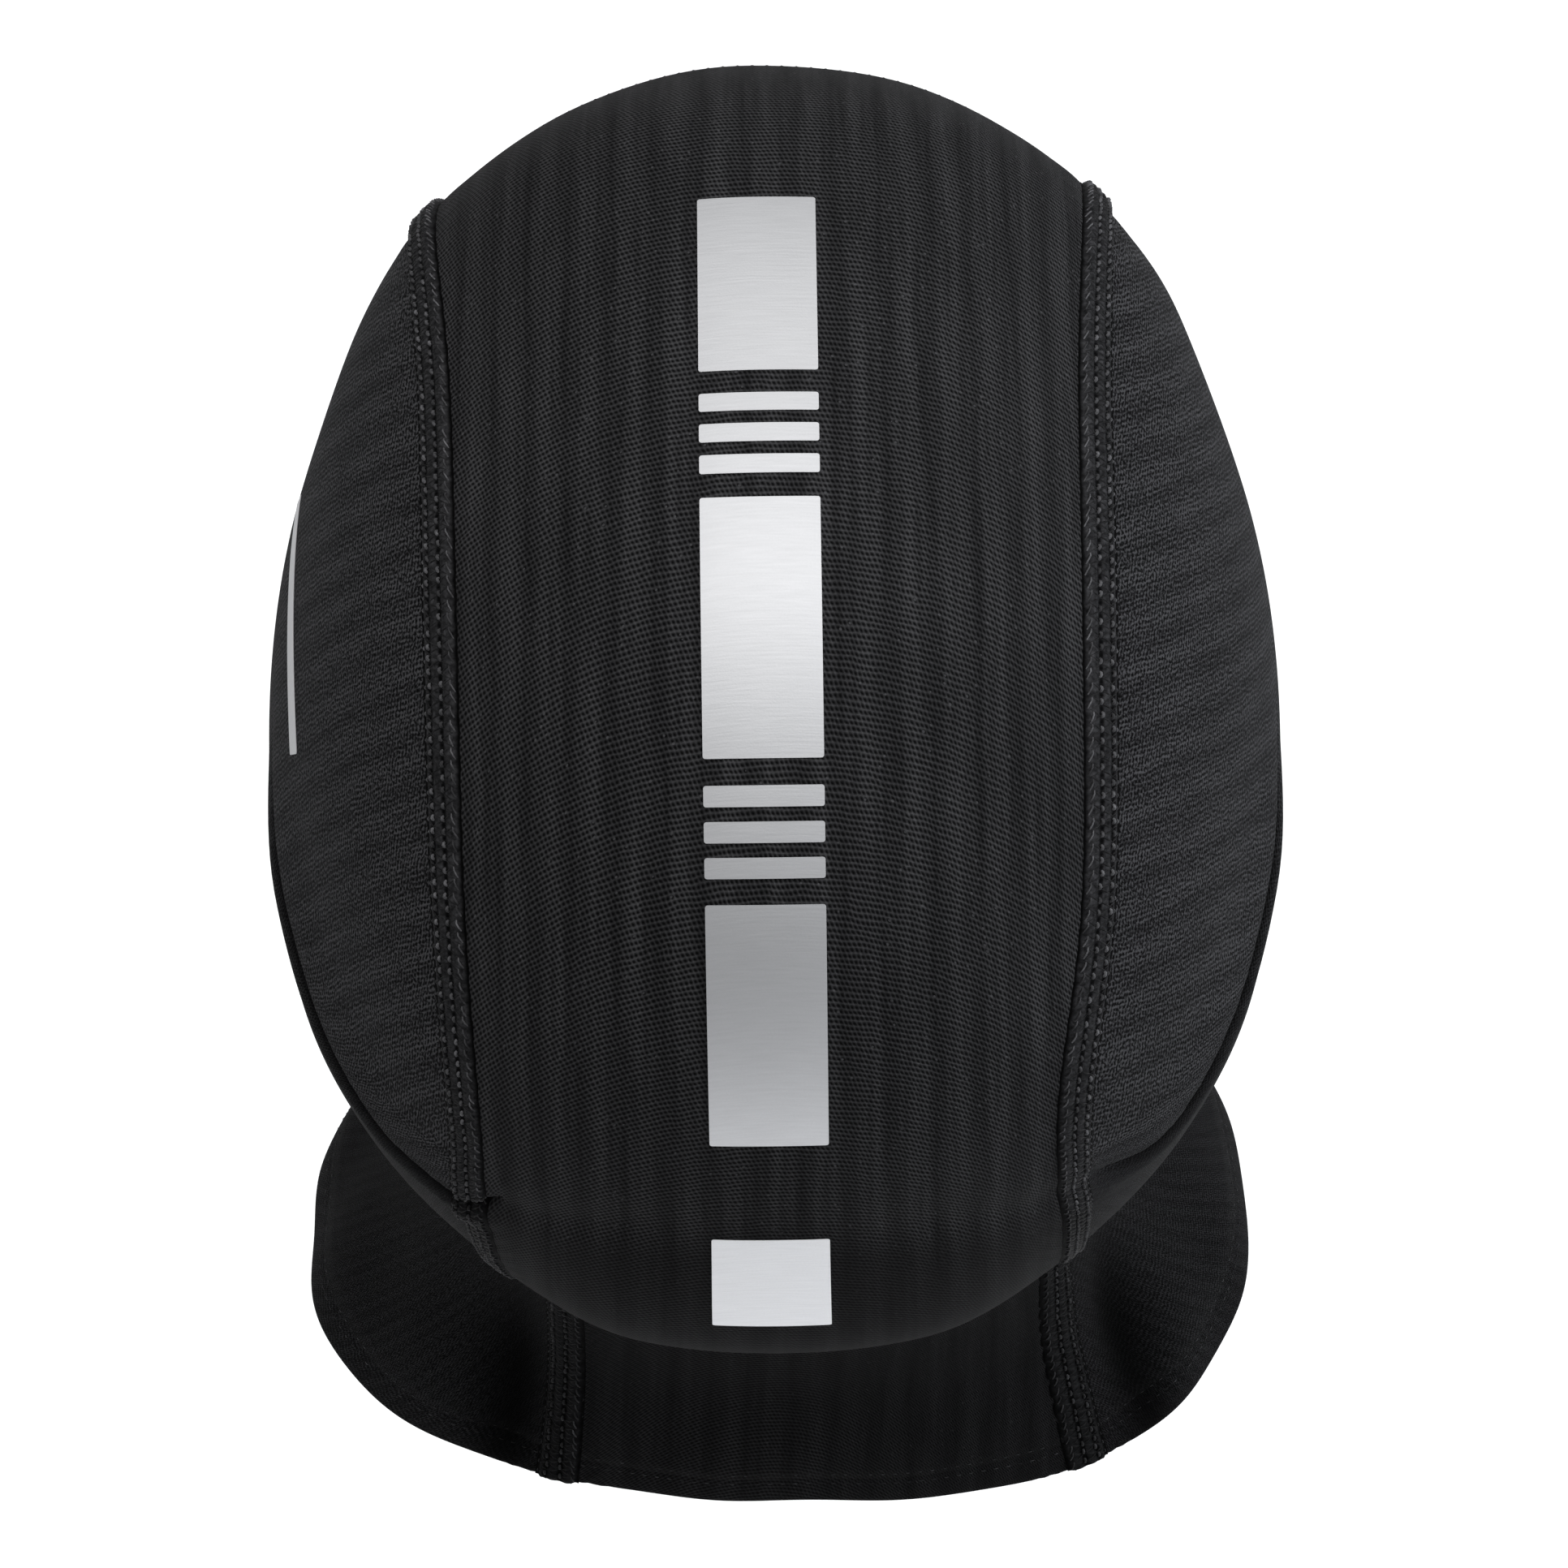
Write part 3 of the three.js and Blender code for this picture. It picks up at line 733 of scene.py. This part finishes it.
def centre_arcs(station, across):
    right = -seam_arc(station, -1) + SEAM_JOIN
    left = seam_arc(station, 1) - SEAM_JOIN
    return right + across * (left - right)


centre_panel = knit_panel(
    "centre_panel_knit", "centre_panel", CENTRE_COLUMNS, centre_arcs, centre_knit, knit_place,
    turned=False,
)


# A side panel covers each ear, cheek and side of the neck, from the side seam round to the throat.
# It is a fuzzier jersey of the same yarn, less even, and cut so that its ribs and streaks lie across.
SIDE_YARN = (0.042, 0.042, 0.0447, 1)
SIDE_PITCHES = (0.8, 0.8)
SIDE_STREAK = (14, 1.1)
SIDE_TURNED = 12
SIDE_COLUMNS = 112
SIDE_FINE = 0.42
SIDE_FINE_SHARE = 0.62
side_knit = knit_material(
    "side_knit", SIDE_YARN, SIDE_PITCHES, turned=SIDE_TURNED, rib_way=1, streak=SIDE_STREAK,
    unruly=1.5, row_depth=0.3, grain=7.0,
)


def side_arcs(side):
    """Distances round a hoop that are close together by the seam and further apart at the throat."""

    def arcs_at(station, across):
        start = seam_arc(station, side) + SEAM_JOIN
        end = throat_arc(station) - SEAM_JOIN
        share = np.interp(across, (0, SIDE_FINE_SHARE, 1), (0, SIDE_FINE, 1))
        return side * (start + share * (end - start))

    return arcs_at


side_panel_left = knit_panel(
    "side_panel_left_knit", "side_panel_left", SIDE_COLUMNS, side_arcs(1), side_knit, side_knit_place,
    turned=False,
)
side_panel_right = knit_panel(
    "side_panel_right_knit", "side_panel_right", SIDE_COLUMNS, side_arcs(-1), side_knit, side_knit_place,
    turned=True,
)


# Thread, for the seams and the hems: twisted black polyester. Its lustre is a painted highlight, a
# lighter colour laid unevenly along it. The cover threads are a duller, deeper black. A thread is a
# closed tube that follows its stitches.
THREAD_COLOUR = (0.016, 0.016, 0.017, 1)
THREAD_LIGHT = (0.12, 0.12, 0.127, 1)
COVER_COLOUR = (0.0025, 0.0025, 0.0028, 1)
COVER_LIGHT = (0.014, 0.014, 0.0148, 1)
PLY_SCALE = 2600.0
LUSTRE_SCALE = 380.0
LUSTRE_SPAN = (3.4, -1.2)
LUSTRE_LIMITS = (0.05, 1.6)
THREAD_ROUGHNESS = 0.6
THREAD_SPECULAR = 0.1
THREAD_RELIEF = 0.05


def thread_material(name, dark, light):
    material, tree, shader = new_material(name)
    place = add_node(tree, "ShaderNodeTexCoord").outputs["Object"]
    ply = noise(tree, place, PLY_SCALE, 1.0)
    uneven = maths(tree, "MULTIPLY_ADD", noise(tree, place, LUSTRE_SCALE, 1.0), *LUSTRE_SPAN)
    uneven = maths(tree, "MAXIMUM", uneven, LUSTRE_LIMITS[0])
    painted_lustre = maths(tree, "MULTIPLY", ply, maths(tree, "MINIMUM", uneven, LUSTRE_LIMITS[1]))
    # The thread's shade attribute is painted shade, taken from the cloth it lies on.
    painted_shade = add_node(tree, "ShaderNodeAttribute", attribute_name="shade").outputs["Fac"]
    colour = darken(tree, painted_shade, blend_colours(tree, painted_lustre, dark, light))
    feed(tree, shader.inputs["Base Color"], colour)
    shader.inputs["Roughness"].default_value = THREAD_ROUGHNESS
    shader.inputs["Specular IOR Level"].default_value = THREAD_SPECULAR
    raise_surface(tree, shader, ply, THREAD_RELIEF * MM)
    return material


seam_thread = thread_material("seam_thread", THREAD_COLOUR, THREAD_LIGHT)
cover_thread = thread_material("cover_thread", COVER_COLOUR, COVER_LIGHT)


def sew_threads(name, node, paths, radius, material=seam_thread):
    """Closed tubes of thread along paths, as one piece. A path has rows of x, y, z and painted shade."""
    thread = bpy.data.curves.new(name, "CURVE")
    thread.dimensions = "3D"
    thread.bevel_depth = radius * MM
    thread.bevel_resolution = 1
    thread.use_fill_caps = True
    for path in paths:
        line = thread.splines.new("POLY")
        line.points.add(len(path) - 1)
        weighted = np.column_stack([path[:, :3] * MM, np.ones(len(path))])
        line.points.foreach_set("co", weighted.ravel())
    holder = bpy.data.objects.new(name + "_curve", thread)
    bpy.context.scene.collection.objects.link(holder)
    finished = holder.evaluated_get(bpy.context.evaluated_depsgraph_get())
    mesh = bpy.data.meshes.new_from_object(finished)
    bpy.data.objects.remove(holder)
    mesh.name = name
    mesh.materials.clear()
    rows = np.concatenate(paths)
    nearest = KDTree(len(rows))
    for number, row in enumerate(rows):
        nearest.insert(row[:3] * MM, number)
    nearest.balance()
    shades = [rows[nearest.find(vertex.co)[1], 3] for vertex in mesh.vertices]
    mesh.attributes.new("shade", "FLOAT", "POINT").data.foreach_set("value", shades)
    mesh.shade_smooth()
    return new_piece(name, mesh, material, "seam_thread", node)


# The hems are the same knit turned in and doubled round each opening, with a soft fold at the edge.
# Two rows of fine stitches hold each one.
HEM_THICKNESS = 2.6
HEM_SINK = 0.02
HEM_TUCK = 0.7
HEM_TUCK_SPAN = (0.86, 1)
HEM_FLATNESS = 1.08
HEM_SQUARENESS = 0.35
HEM_COLUMNS = 420
HEM_ROWS = 36
HEM_MERGE = 0.02
THROAT_BELOW = -150
HEM_STITCH = 2.2
HEM_STITCH_ALONG = np.array([0.2, 0.38, 0.56])
HEM_STITCH_LIFT = np.array([-0.12, 0.02, -0.12])
HEM_THREAD = 0.1
FACE_STITCHES_AT = (15.5, 17.8)
NECK_STITCHES_AT = (5.8, 8.1)


def close_mesh(mesh):
    """Merges the rows of points where a sheet meets itself, and turns its faces outwards."""
    shape = bmesh.new()
    shape.from_mesh(mesh)
    bmesh.ops.remove_doubles(shape, verts=shape.verts, dist=HEM_MERGE * MM)
    bmesh.ops.recalc_face_normals(shape, faces=shape.faces)
    shape.to_mesh(mesh)
    shape.free()


def folded_hem(name, node, edge, inside):
    """A closed ring of doubled cloth, from the hoop at its edge to just under the panels."""
    at = HOOP_NAMES.index(edge)
    to = HOOP_NAMES.index(inside)
    half = HEM_THICKNESS / 2

    def place(around, section):
        turn = 2 * math.pi * section
        across = np.clip(HEM_FLATNESS * np.cos(turn), -1, 1)
        rise = np.sign(np.sin(turn)) * np.abs(np.sin(turn)) ** HEM_SQUARENESS
        station = np.clip(at + (to - at) * (0.5 + 0.5 * across), 0, LAST_HOOP)
        arc = (2 * around - 1) * throat_arc(station)
        tuck = HEM_TUCK * ease(across, *HEM_TUCK_SPAN) * (rise > 0)
        lift = half * rise - half - HEM_SINK - tuck
        return on_cloth(station, arc, lift), knit_place(station, arc), painted_cloth_shade(station, arc)

    mesh = mapped_grid(name, HEM_COLUMNS, HEM_ROWS, place)
    close_mesh(mesh)
    new_piece(name, mesh, centre_knit, "knit", node)
    mesh.materials.append(side_knit)
    for face in mesh.polygons:
        x, y, z = face.center / MM
        reach = hoop_column("left_seam" if x > 0 else "right_seam", np.array([float(at)]))[0]
        in_front = z < THROAT_BELOW if edge == "face_edge" else y < 0
        face.material_index = int(abs(x) > reach or in_front)


def hem_stitches(name, node, edge, inside, distances, light):
    """Rows of short stitches round an opening, at distances from its edge."""
    at = HOOP_NAMES.index(edge)
    to = HOOP_NAMES.index(inside)
    length = 2 * throat_arc(np.array([at + 0.5 * (to - at)]))[0]
    count = int(length / HEM_STITCH)
    stitches = []
    for distance in distances:
        for k in range(count):
            share = 2 * (k + HEM_STITCH_ALONG) / count - 1
            first = on_cloth(np.full(3, float(at)), share * throat_arc(float(at)))
            last = on_cloth(np.full(3, float(to)), share * throat_arc(float(to)))
            span = np.linalg.norm(last - first, axis=1)
            station = at + (to - at) * distance / span
            arc = share * throat_arc(station)
            points = on_cloth(station, arc, HEM_STITCH_LIFT)
            # Each stitch takes the painted shade of the cloth under it, scaled by light.
            stitches.append(np.column_stack([points, light * painted_cloth_shade(station, arc)]))
    sew_threads(name, node, stitches, HEM_THREAD)


folded_hem("face_hem_knit", "face_hem", "face_edge", "face_hem")
folded_hem("neck_hem_knit", "neck_hem", "neck_edge", "neck_hem")
hem_stitches("face_hem_stitches", "face_hem", "face_edge", "face_hem", FACE_STITCHES_AT, light=0.45)
hem_stitches("neck_hem_stitches", "neck_hem", "neck_edge", "neck_hem", NECK_STITCHES_AT, light=1.1)


# Flatlock seams join the panels edge to edge: two rows of needle stitches, a looser chain along the
# inner edge, loops along the outer one, and cover threads that cross between them over a low band.
# They run from the face edge to the neck edge, and stand higher at the brow, over the face hem.
SEAM_WIDTH = 6.9
SEAM_FLANGE = 0.5
SEAM_LIFT = 0.06
SEAM_RISE = 0.5
SEAM_SLOPE = 0.7
SEAM_PADDING = 0.1
SEAM_WALL = 0.5
SEAM_END = 0.02
SEAM_POINTS = 3000
BAND_COLUMNS = 26
BAND_ROWS = 560
BROW_RISE = 0.65
BROW_SPAN = (1.5, 2.6)
STITCH = 2.0
NEEDLE_ROWS = (-2.0, 0.55)
CHAIN_ROW = 2.75
COVER_EDGE = -3.1
LOOP_ROW = -3.55
NEEDLE_THREAD = 0.27
CHAIN_THREAD = 0.13
COVER_THREAD = 0.2

# One stitch of each row, as shares of a stitch along the seam and millimetres across and up, and how
# unevenly the needle stitches and the chain are laid.
NEEDLE_ALONG = np.array([0.16, 0.24, 0.36, 0.47, 0.56])
NEEDLE_UP = np.array([-0.3, 0.16, 0.26, 0.14, -0.3])
NEEDLE_SLANT = 0.3
NEEDLE_MIDDLE = 0.4
CHAIN_ALONG = np.array([0.05, 0.3, 0.6, 0.92])
CHAIN_ACROSS = np.array([-0.3, -0.12, 0.15, 0.3])
CHAIN_UP = np.array([-0.1, 0.16, 0.16, -0.1])
LOOP_ALONG = np.array([0.3, 0.45, 0.6])
LOOP_UP = np.array([-0.1, 0.12, -0.1])
COVER_STEPS = 4
COVER_SINK = -0.16
COVER_ARCH = 0.12
UNEVEN_SEED = 7
UNEVEN_ACROSS = 0.1
NEEDLE_UNEVEN_ALONG = 0.06
CHAIN_UNEVEN_ALONG = 0.08

# The band is fuzzy and lumpy, dark along the needle rows, and darkest in the hole at the end of each
# needle stitch. Painted shade darkens it along its edges, where it meets the cloth.
BAND_YARN = (0.032, 0.032, 0.034, 1)
BAND_FUZZ_SCALE = 1500.0
BAND_FUZZ_SPAN = (1.5, -0.25)
BAND_LUMP_SCALE = 620.0
BAND_LUMP_SPAN = (2.4, -0.2)
BAND_RELIEF = 0.3
BAND_FUZZ_RELIEF = 0.4
EDGE_SHADE = 0.05
EDGE_SHADE_WIDTH = 0.25
HOLE_AT = 0.93
HOLE_ACROSS = 0.42
HOLE_ALONG = 0.2
HOLE_CLEARS = (0.7, 0.05)
LINE_CLEARS = (0.4, 0.2)


def band_material():
    """The fuzzy band under the threads, with a dark hole at the end of each needle stitch."""
    material, tree, shader = new_material("seam_band_knit")
    flat = add_node(tree, "ShaderNodeUVMap", uv_map="knit").outputs[0]
    parts = add_node(tree, "ShaderNodeSeparateXYZ")
    feed(tree, parts.inputs[0], flat)
    stitch = maths(tree, "MULTIPLY", parts.outputs[1], 1 / (STITCH * MM))
    from_end = maths(tree, "SUBTRACT", maths(tree, "FRACT", stitch), HOLE_AT)
    from_end = maths(tree, "ABSOLUTE", from_end)
    up = maths(tree, "POWER", maths(tree, "DIVIDE", from_end, HOLE_ALONG), 2)
    solid = None
    for row in NEEDLE_ROWS:
        from_row = maths(tree, "MULTIPLY_ADD", parts.outputs[0], 1 / MM, -row)
        out = maths(tree, "POWER", maths(tree, "DIVIDE", from_row, HOLE_ACROSS), 2)
        clear = maths(tree, "MULTIPLY_ADD", maths(tree, "ADD", up, out), *HOLE_CLEARS)
        clear = maths(tree, "MINIMUM", clear, 1)
        line = maths(tree, "MINIMUM", maths(tree, "MULTIPLY_ADD", out, *LINE_CLEARS), 1)
        row_solid = maths(tree, "MULTIPLY", clear, line)
        solid = row_solid if solid is None else maths(tree, "MULTIPLY", solid, row_solid)
    fuzz = noise(tree, flat, BAND_FUZZ_SCALE, 3.0)
    lumps = noise(tree, flat, BAND_LUMP_SCALE, 1.0)
    light = maths(tree, "MULTIPLY", maths(tree, "MULTIPLY_ADD", fuzz, *BAND_FUZZ_SPAN), solid)
    light = maths(tree, "MULTIPLY", light, maths(tree, "MULTIPLY_ADD", lumps, *BAND_LUMP_SPAN))
    colour = blend_colours(tree, light, KNIT_GAP, BAND_YARN)
    # The band's shade attribute is painted shade, from the cloth and from the band's edges.
    painted_shade = add_node(tree, "ShaderNodeAttribute", attribute_name="shade").outputs["Fac"]
    feed(tree, shader.inputs["Base Color"], darken(tree, painted_shade, colour))
    shader.inputs["Roughness"].default_value = KNIT_ROUGHNESS
    shader.inputs["Specular IOR Level"].default_value = KNIT_SPECULAR
    height = maths(tree, "ADD", solid, maths(tree, "MULTIPLY", fuzz, BAND_FUZZ_RELIEF))
    raise_surface(tree, shader, height, BAND_RELIEF * MM)
    return material


seam_band_knit = band_material()


def stations_along(middle, spacing):
    """Stations that stand a real distance apart along a line at a distance round the hoops."""
    fine = np.linspace(SEAM_END, LAST_HOOP - SEAM_END, SEAM_POINTS)
    points = on_cloth(fine, middle(fine))
    gone = np.concatenate([[0], np.cumsum(np.linalg.norm(np.diff(points, axis=0), axis=1))])
    count = int(gone[-1] / spacing)
    return np.interp(np.linspace(0, gone[-1], count + 1), gone, fine)


def band_lift(station, offset):
    """How high the seam's band stands off the cloth at a distance from its middle line."""
    brow = BROW_RISE * (1 - ease(station, *BROW_SPAN))
    inside = ease(SEAM_WIDTH / 2 - np.abs(offset), 0, SEAM_SLOPE)
    first, second = NEEDLE_ROWS
    padding = SEAM_PADDING * np.cos(2 * math.pi * (offset - second) / (second - first))
    return SEAM_LIFT + inside * (SEAM_RISE + brow - padding)


def flatlock_seam(name, middle, inwards):
    """A seam along distances round the hoops. Inwards, 1 or -1, is the way to the centre panel."""
    knots = stations_along(middle, STITCH)
    numbers = np.arange(len(knots))

    def at(stitch, offset, lift):
        station = np.interp(stitch, numbers, knots)
        arc = middle(station) + inwards * offset
        points = on_cloth(station, arc, band_lift(station, offset) + lift)
        return np.column_stack([points, painted_cloth_shade(station, arc)])

    def place(across, along):
        station = np.clip(SEAM_END + along * (LAST_HOOP - 2 * SEAM_END), 0, LAST_HOOP)
        offset = (across - 0.5) * (SEAM_WIDTH + 2 * SEAM_FLANGE)
        points = on_cloth(station, middle(station) + inwards * offset, band_lift(station, offset))
        gone = np.interp(station, knots, numbers) * STITCH
        # Painted shade: the band darkens towards its edges, on top of the cloth's painted shade.
        edge = ease(np.abs(offset), SEAM_WIDTH / 2 - EDGE_SHADE_WIDTH, SEAM_WIDTH / 2)
        shade = painted_cloth_shade(station, middle(station)) * (1 - (1 - EDGE_SHADE) * edge)
        return points, np.stack([offset, gone], -1), shade

    band_mesh = mapped_grid(name + "_band", BAND_COLUMNS, BAND_ROWS, place)
    if inwards < 0:
        band_mesh.flip_normals()
    band = new_piece(name + "_band", band_mesh, seam_band_knit, "seam_thread", name)
    add_wall(band, SEAM_WALL)

    uneven = np.random.default_rng(UNEVEN_SEED).normal(0, 1, (4, len(knots)))
    needles = []
    for i, row in enumerate(NEEDLE_ROWS):
        for k in numbers[:-1]:
            stitch = k + NEEDLE_ALONG + NEEDLE_UNEVEN_ALONG * uneven[i, k]
            slant = NEEDLE_SLANT * (NEEDLE_ALONG - NEEDLE_MIDDLE)
            offset = row + UNEVEN_ACROSS * uneven[i + 2, k] + slant
            needles.append(at(stitch, offset, NEEDLE_UP))
    chain = []
    for k in numbers[:-1]:
        stitch = k + CHAIN_ALONG + CHAIN_UNEVEN_ALONG * uneven[0, k]
        offset = CHAIN_ROW + CHAIN_ACROSS + UNEVEN_ACROSS * uneven[3, k]
        chain.append(at(stitch, offset, CHAIN_UP))
    for k in numbers[:-1]:
        chain.append(at(k + LOOP_ALONG, np.full(len(LOOP_ALONG), LOOP_ROW), LOOP_UP))
    covers = []
    rows = (COVER_EDGE, *NEEDLE_ROWS, CHAIN_ROW)
    for k, (low, high) in enumerate(zip(rows, rows[1:])):
        steps = np.arange(COVER_STEPS * (len(knots) - 1) + 1) / COVER_STEPS
        swing = np.abs((2 * steps + k) % 2 - 1)
        lift = COVER_SINK + COVER_ARCH * np.sin(math.pi * swing)
        covers.append(at(steps, low + (high - low) * swing, lift))
    return [
        band,
        sew_threads(name + "_needle_stitches", name, needles, NEEDLE_THREAD),
        sew_threads(name + "_chain", name, chain, CHAIN_THREAD),
        sew_threads(name + "_cover_threads", name, covers, COVER_THREAD, cover_thread),
    ]


left_seam = flatlock_seam("seam_left", lambda station: seam_arc(station, 1), -1)
right_seam = flatlock_seam("seam_right", lambda station: -seam_arc(station, -1), 1)
flatlock_seam("seam_throat", throat_arc, -1)


# The print is a thin silver transfer film in plain blocks down the middle of the back, with short
# bars between them like the rungs of a ladder. Its corners are slightly rounded. Its colour carries
# painted shade and reflection: duller over the crown, and at its full silver lower down the back.
BLOCK_WIDTH = 18
BLOCK_MIDDLE = 1.6
BLOCKS = (
    ("block_1", 75, 108, 1), ("ladder_1", 112, 126, 3), ("block_2", 130, 170, 1),
    ("ladder_2", 174, 188, 3), ("block_3", 192, 234.5, 1), ("block_4", 257.5, 285, 1),
)
LADDER_GAP = 2.2
FILM_LIFT = 0.15
FILM_WALL = 0.1
FILM_CORNER = 0.4
FILM_CELL = 1.2
FILM_DARK = (0.63, 0.635, 0.65, 1)
FILM_LIGHT = (0.8, 0.806, 0.825, 1)
FILM_ON_CROWN = 0.57
FILM_FULL_SPAN = (4.9, 6.4)
FIBRE_SCALE = (160, 2400, 1)
FIBRE_SHARE = 0.7
GRAIN_SCALE = 3000.0
GRAIN_SHARE = 0.3
FILM_METALLIC = 0.75
FILM_ROUGHNESS = 0.55
FILM_RELIEF = 0.05
FILM_RELIEF_STRENGTH = 0.5


def film_material():
    material, tree, shader = new_material("silver_film")
    flat = add_node(tree, "ShaderNodeUVMap", uv_map="knit").outputs[0]
    fibres = add_node(tree, "ShaderNodeMapping")
    fibres.inputs["Scale"].default_value = FIBRE_SCALE
    feed(tree, fibres.inputs["Vector"], flat)
    fibre = maths(tree, "MULTIPLY", noise(tree, fibres.outputs[0], 1.0, 3.0), FIBRE_SHARE)
    grain = noise(tree, flat, GRAIN_SCALE, 1.0)
    shade = maths(tree, "MULTIPLY_ADD", grain, GRAIN_SHARE, fibre)
    silver = blend_colours(tree, shade, FILM_DARK, FILM_LIGHT)
    # The film's shade attribute is painted shade and reflection, duller over the crown.
    painted_film_shade = add_node(tree, "ShaderNodeAttribute", attribute_name="shade").outputs["Fac"]
    feed(tree, shader.inputs["Base Color"], darken(tree, painted_film_shade, silver))
    shader.inputs["Metallic"].default_value = FILM_METALLIC
    shader.inputs["Roughness"].default_value = FILM_ROUGHNESS
    raise_surface(tree, shader, shade, FILM_RELIEF * MM, FILM_RELIEF_STRENGTH)
    return material


silver_film = film_material()


def print_block(name, width, length, station_of, arc_of):
    """A rounded rectangle of film, laid on the cloth and given its wall."""

    def place(across, along):
        station = station_of(along)
        arc = arc_of(station, across - width / 2)
        # Painted shade and reflection: the film is duller over the crown than lower down the back.
        painted_film_shade = FILM_ON_CROWN + (1 - FILM_ON_CROWN) * ease(station, *FILM_FULL_SPAN)
        return on_cloth(station, arc, FILM_LIFT), knit_place(station, arc), painted_film_shade

    columns = max(3, round(width / FILM_CELL))
    rows = max(3, round(length / FILM_CELL))
    mesh = mapped_grid(
        name + "_film", columns, rows, place, size=(width, length), corner=FILM_CORNER, sharp_rim=True
    )
    film = new_piece(name + "_film", mesh, silver_film, "reflective_print", name)
    add_wall(film, FILM_WALL)


def spine_station(distance):
    """The station at a distance along the middle of the back from the face edge."""
    return np.interp(distance, spine_travel, chart_stations)


for name, start, end, bars in BLOCKS:
    bar = (end - start - LADDER_GAP * (bars - 1)) / bars
    for i in range(bars):
        first = start + i * (bar + LADDER_GAP)
        print_block(
            f"{name}_bar_{i + 1}" if bars > 1 else name, BLOCK_WIDTH, bar,
            lambda along, first=first: spine_station(first + along),
            lambda station, across: BLOCK_MIDDLE + across,
        )


# The temple bar is one bar of the same film on the left temple, of even width. It runs from one
# station to another, at distances outside the left seam that shorten a little towards the back.
TEMPLE_FROM = 2.9
TEMPLE_TO = 4.4
TEMPLE_STARTS = 57.5
TEMPLE_ENDS = 52.5
TEMPLE_WIDTH = 4.5
TEMPLE_LENGTH = 66.0


def temple_station(along):
    """The station at a distance along the temple bar."""
    return TEMPLE_FROM + (TEMPLE_TO - TEMPLE_FROM) * along / TEMPLE_LENGTH


def temple_arc(station, across):
    """The distance round the hoop at a station of the temple bar, and at a distance across it."""
    share = (station - TEMPLE_FROM) / (TEMPLE_TO - TEMPLE_FROM)
    return seam_arc(station, 1) + TEMPLE_STARTS + share * (TEMPLE_ENDS - TEMPLE_STARTS) + across


print_block("temple_bar", TEMPLE_WIDTH, TEMPLE_LENGTH, temple_station, temple_arc)
